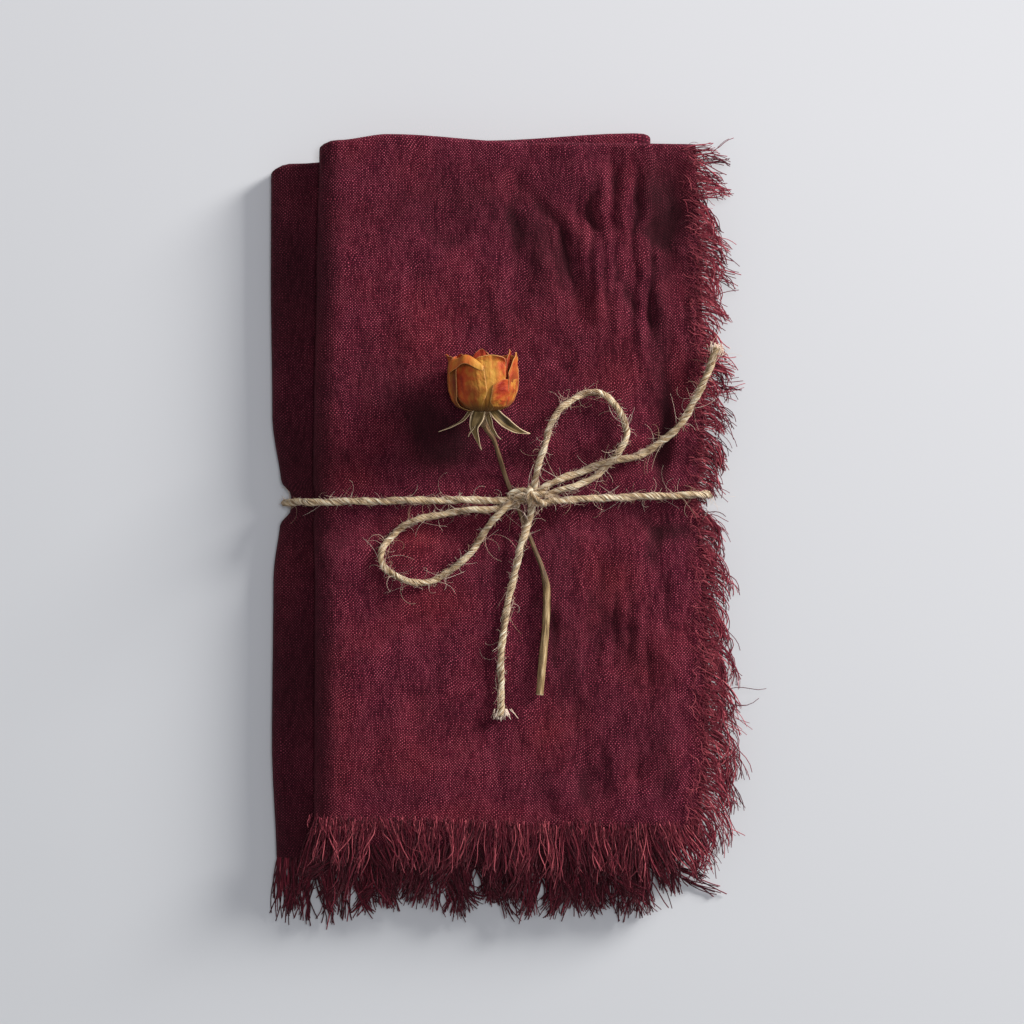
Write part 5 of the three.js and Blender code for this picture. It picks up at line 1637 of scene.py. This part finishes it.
# %% Turned shapes and the calyx
def turned_piece(name, line, radius, replaced, numbers):
    """A tube with its own radius at each station and ridge: point = line + radius out."""
    stations, corners = radius.shape
    _, side, up = frame_along(line, UPWARDS)
    angle = ring(corners)
    points = line[:, None] + radius[..., None] * circle(angle, side[:, None], up[:, None])
    walk = distance_along(line)[:, None]
    flat = [0 * walk + np.cos(angle), 0 * walk + np.sin(angle), walk + 0 * angle]
    numbers = {key: np.repeat(value, corners) for key, value in numbers.items()}
    numbers["fibre"] = np.stack(flat, axis=-1).reshape(-1, 3) * MM
    part = (points.reshape(-1, 3), tube_faces(1, stations, corners), numbers)
    add_piece(name, part, STEM, replaced)


CALYX = np.array([
    # along, radius
    (28.6, 0.75), (30.2, 0.8), (31.4, 1.1), (32.1, 1.6), (32.7, 2.1), (33.3, 2.2), (34.2, 1.4),
])
CALYX_STATIONS = 24
CALYX_CORNERS = 24


def calyx_piece():
    """Radius = the table's x (1 + 0.07 cos 5 a + 0.03 cos 11 a), for the roots of five sepals."""
    y = np.linspace(CALYX[0, 0], CALYX[-1, 0], CALYX_STATIONS)
    line = np.stack([BUD["x"] + 0.2 + 0 * y, y, BUD["z"] + 0 * y], axis=1)
    angle = ring(CALYX_CORNERS)
    ridges = 1 + 0.07 * np.cos(5 * angle) + 0.03 * np.cos(11 * angle)
    radius = np.interp(y, CALYX[:, 0], CALYX[:, 1])[:, None] * ridges
    turned_piece("rose_calyx", line, radius, (), {"pale": 0.1 + 0 * y, "cut": 0 * y})


calyx_piece()

# %% Stem
STEM_ROUTE = np.array([
    # across, along, z above the table, radius
    (-6.8, 30.6, 25.0, 0.85), (-6.4, 28.6, 23.4, 0.75), (-4.2, 25.4, 20.4, 0.65),
    (-2.8, 21.4, 18.0, 0.6),
])
STEM_ON_CLOTH = np.array([
    # across, along, above the cloth, radius
    (-0.9, 15.2, 0.2, 0.6), (0.8, 10.6, 0.0, 0.6), (2.6, 6.4, 0.0, 0.6), (5.6, -1.0, 0.1, 0.6),
    (8.2, -7.4, 0.1, 0.62), (9.7, -11.2, 0.1, 0.66), (10.6, -14.6, 0.1, 0.95),
    (11.0, -16.6, 0.0, 1.08), (11.1, -20.8, 0.0, 0.98), (10.7, -29.7, 0.0, 1.06),
    (9.9, -38.0, 0.0, 1.1), (9.1, -47.6, 0.0, 1.05),
])
STEM_STEP = 0.45
STEM_CORNERS = 16


def stem_piece():
    """Radius = the tables' x ridges that wind slowly x bumps along the stem."""
    resting = on_cloth(STEM_ON_CLOTH[:, :3], STEM_ON_CLOTH[:, 3])
    knots = np.vstack([STEM_ROUTE[:, :3], resting])
    sizes = np.concatenate([STEM_ROUTE[:, 3], STEM_ON_CLOTH[:, 3]])
    line, length = smooth_route(knots, STEM_STEP)
    nearest = np.linalg.norm(line[:, None] - knots[None], axis=-1).argmin(axis=0)
    radius = np.interp(np.arange(len(line)), nearest, sizes)
    angle, length = ring(STEM_CORNERS), length[:, None]
    ridges = 1 + 0.06 * np.cos(5 * angle + 0.04 * length) + 0.03 * np.cos(8 * angle)
    bumps = 1 + 0.03 * np.sin(length / 2.3) + 0.02 * np.sin(length / 0.9)
    pale = smooth(-line[:, 1], 13, 18)
    cut = np.where(np.arange(len(line)) == len(line) - 1, 1.0, 0.0)
    turned_piece("rose_stem_dry", line, radius[:, None] * ridges * bumps, ["rose_stem"],
                 {"pale": pale, "cut": cut})


stem_piece()

# %% [markdown]
# ## Floor and light
# The napkin lies on a pale surface whose colour is a little paler towards the top right: painted
# light from the lamp's side. One large soft lamp stands to the right and a little up the napkin,
# so shadows fall to the left and are soft. A second lamp, straight overhead, fills them without
# darkening the floor beside the cloth, and a faint pale sky does the rest. All are set by how
# bright the bare floor and the shadow beside the folds should look.

# %% The floor
FLOOR_HALF = 4000.0
FLOOR_CORNERS = np.array([(-1, -1, 0), (1, -1, 0), (1, 1, 0), (-1, 1, 0)])


def floor_material():
    """Nearly white, and painted a little paler towards the top right, the lamp's side: shade = 0.6
    x + y.
    """
    material, tree, shader = new_material("pale_floor", roughness=0.75, gloss=0.2)
    split = tree.nodes.new("ShaderNodeSeparateXYZ")
    tree.links.new(tree.nodes.new("ShaderNodeTexCoord").outputs["Object"], split.inputs[0])
    # Painted light: the floor's colour grows paler towards the lamp's side.
    slant = work_out(tree, "MULTIPLY_ADD", split.outputs[0], 0.6, split.outputs[1])
    shade = spread(tree, slant, -0.18, 0.18)
    put(tree, shader.inputs["Base Color"],
        mix(tree, shade, (0.65, 0.665, 0.685, 1), (0.722, 0.728, 0.748, 1)))
    return material


floor_mesh = bpy.data.meshes.new("pale_floor")
floor_mesh.from_pydata((FLOOR_CORNERS * FLOOR_HALF * MM).tolist(), [], [(0, 1, 2, 3)])
floor_mesh.materials.append(floor_material())
new_object("pale_floor", floor_mesh)

# %% Lamps and sky
LAMP = {"azimuth": 34.0, "elevation": 19.6, "distance": 2.7, "width": 0.90, "power": 106.5}
CEILING = {"place": (0.15, 0.1, 1.6), "width": 0.5, "power": 8.5}
WARM_WHITE = (1.0, 0.985, 0.96)
COOL_WHITE = (0.94, 0.95, 1.0)
SKY_COLOUR = (0.93, 0.93, 0.975, 1)
SKY_STRENGTH = 0.20


def lamp_place():
    """distance x (cos elevation cos azimuth, cos elevation sin azimuth, sin elevation)."""
    azimuth, elevation = np.radians(LAMP["azimuth"]), np.radians(LAMP["elevation"])
    level = LAMP["distance"] * np.cos(elevation)
    return Vector((level * np.cos(azimuth), level * np.sin(azimuth),
                   LAMP["distance"] * np.sin(elevation)))


def add_lamp(name, place, width, power, colour):
    """A round soft lamp that shines straight down until it is turned."""
    data = bpy.data.lights.new(name, "AREA")
    data.shape = "DISK"
    data.size = width
    data.energy = power
    data.color = colour
    lamp = new_object(name, data)
    lamp.location = place
    return lamp


lamp = add_lamp("soft_lamp", lamp_place(), LAMP["width"], LAMP["power"], WARM_WHITE)
lamp.rotation_euler = (-lamp_place()).to_track_quat("-Z", "Y").to_euler()
add_lamp("ceiling_lamp", CEILING["place"], CEILING["width"], CEILING["power"], COOL_WHITE)

sky = bpy.data.worlds.new("pale_sky")
sky.use_nodes = True
background = sky.node_tree.nodes["Background"]
background.inputs["Color"].default_value = SKY_COLOUR
background.inputs["Strength"].default_value = SKY_STRENGTH
bpy.context.scene.world = sky
bpy.context.scene.view_settings.view_transform = "Standard"
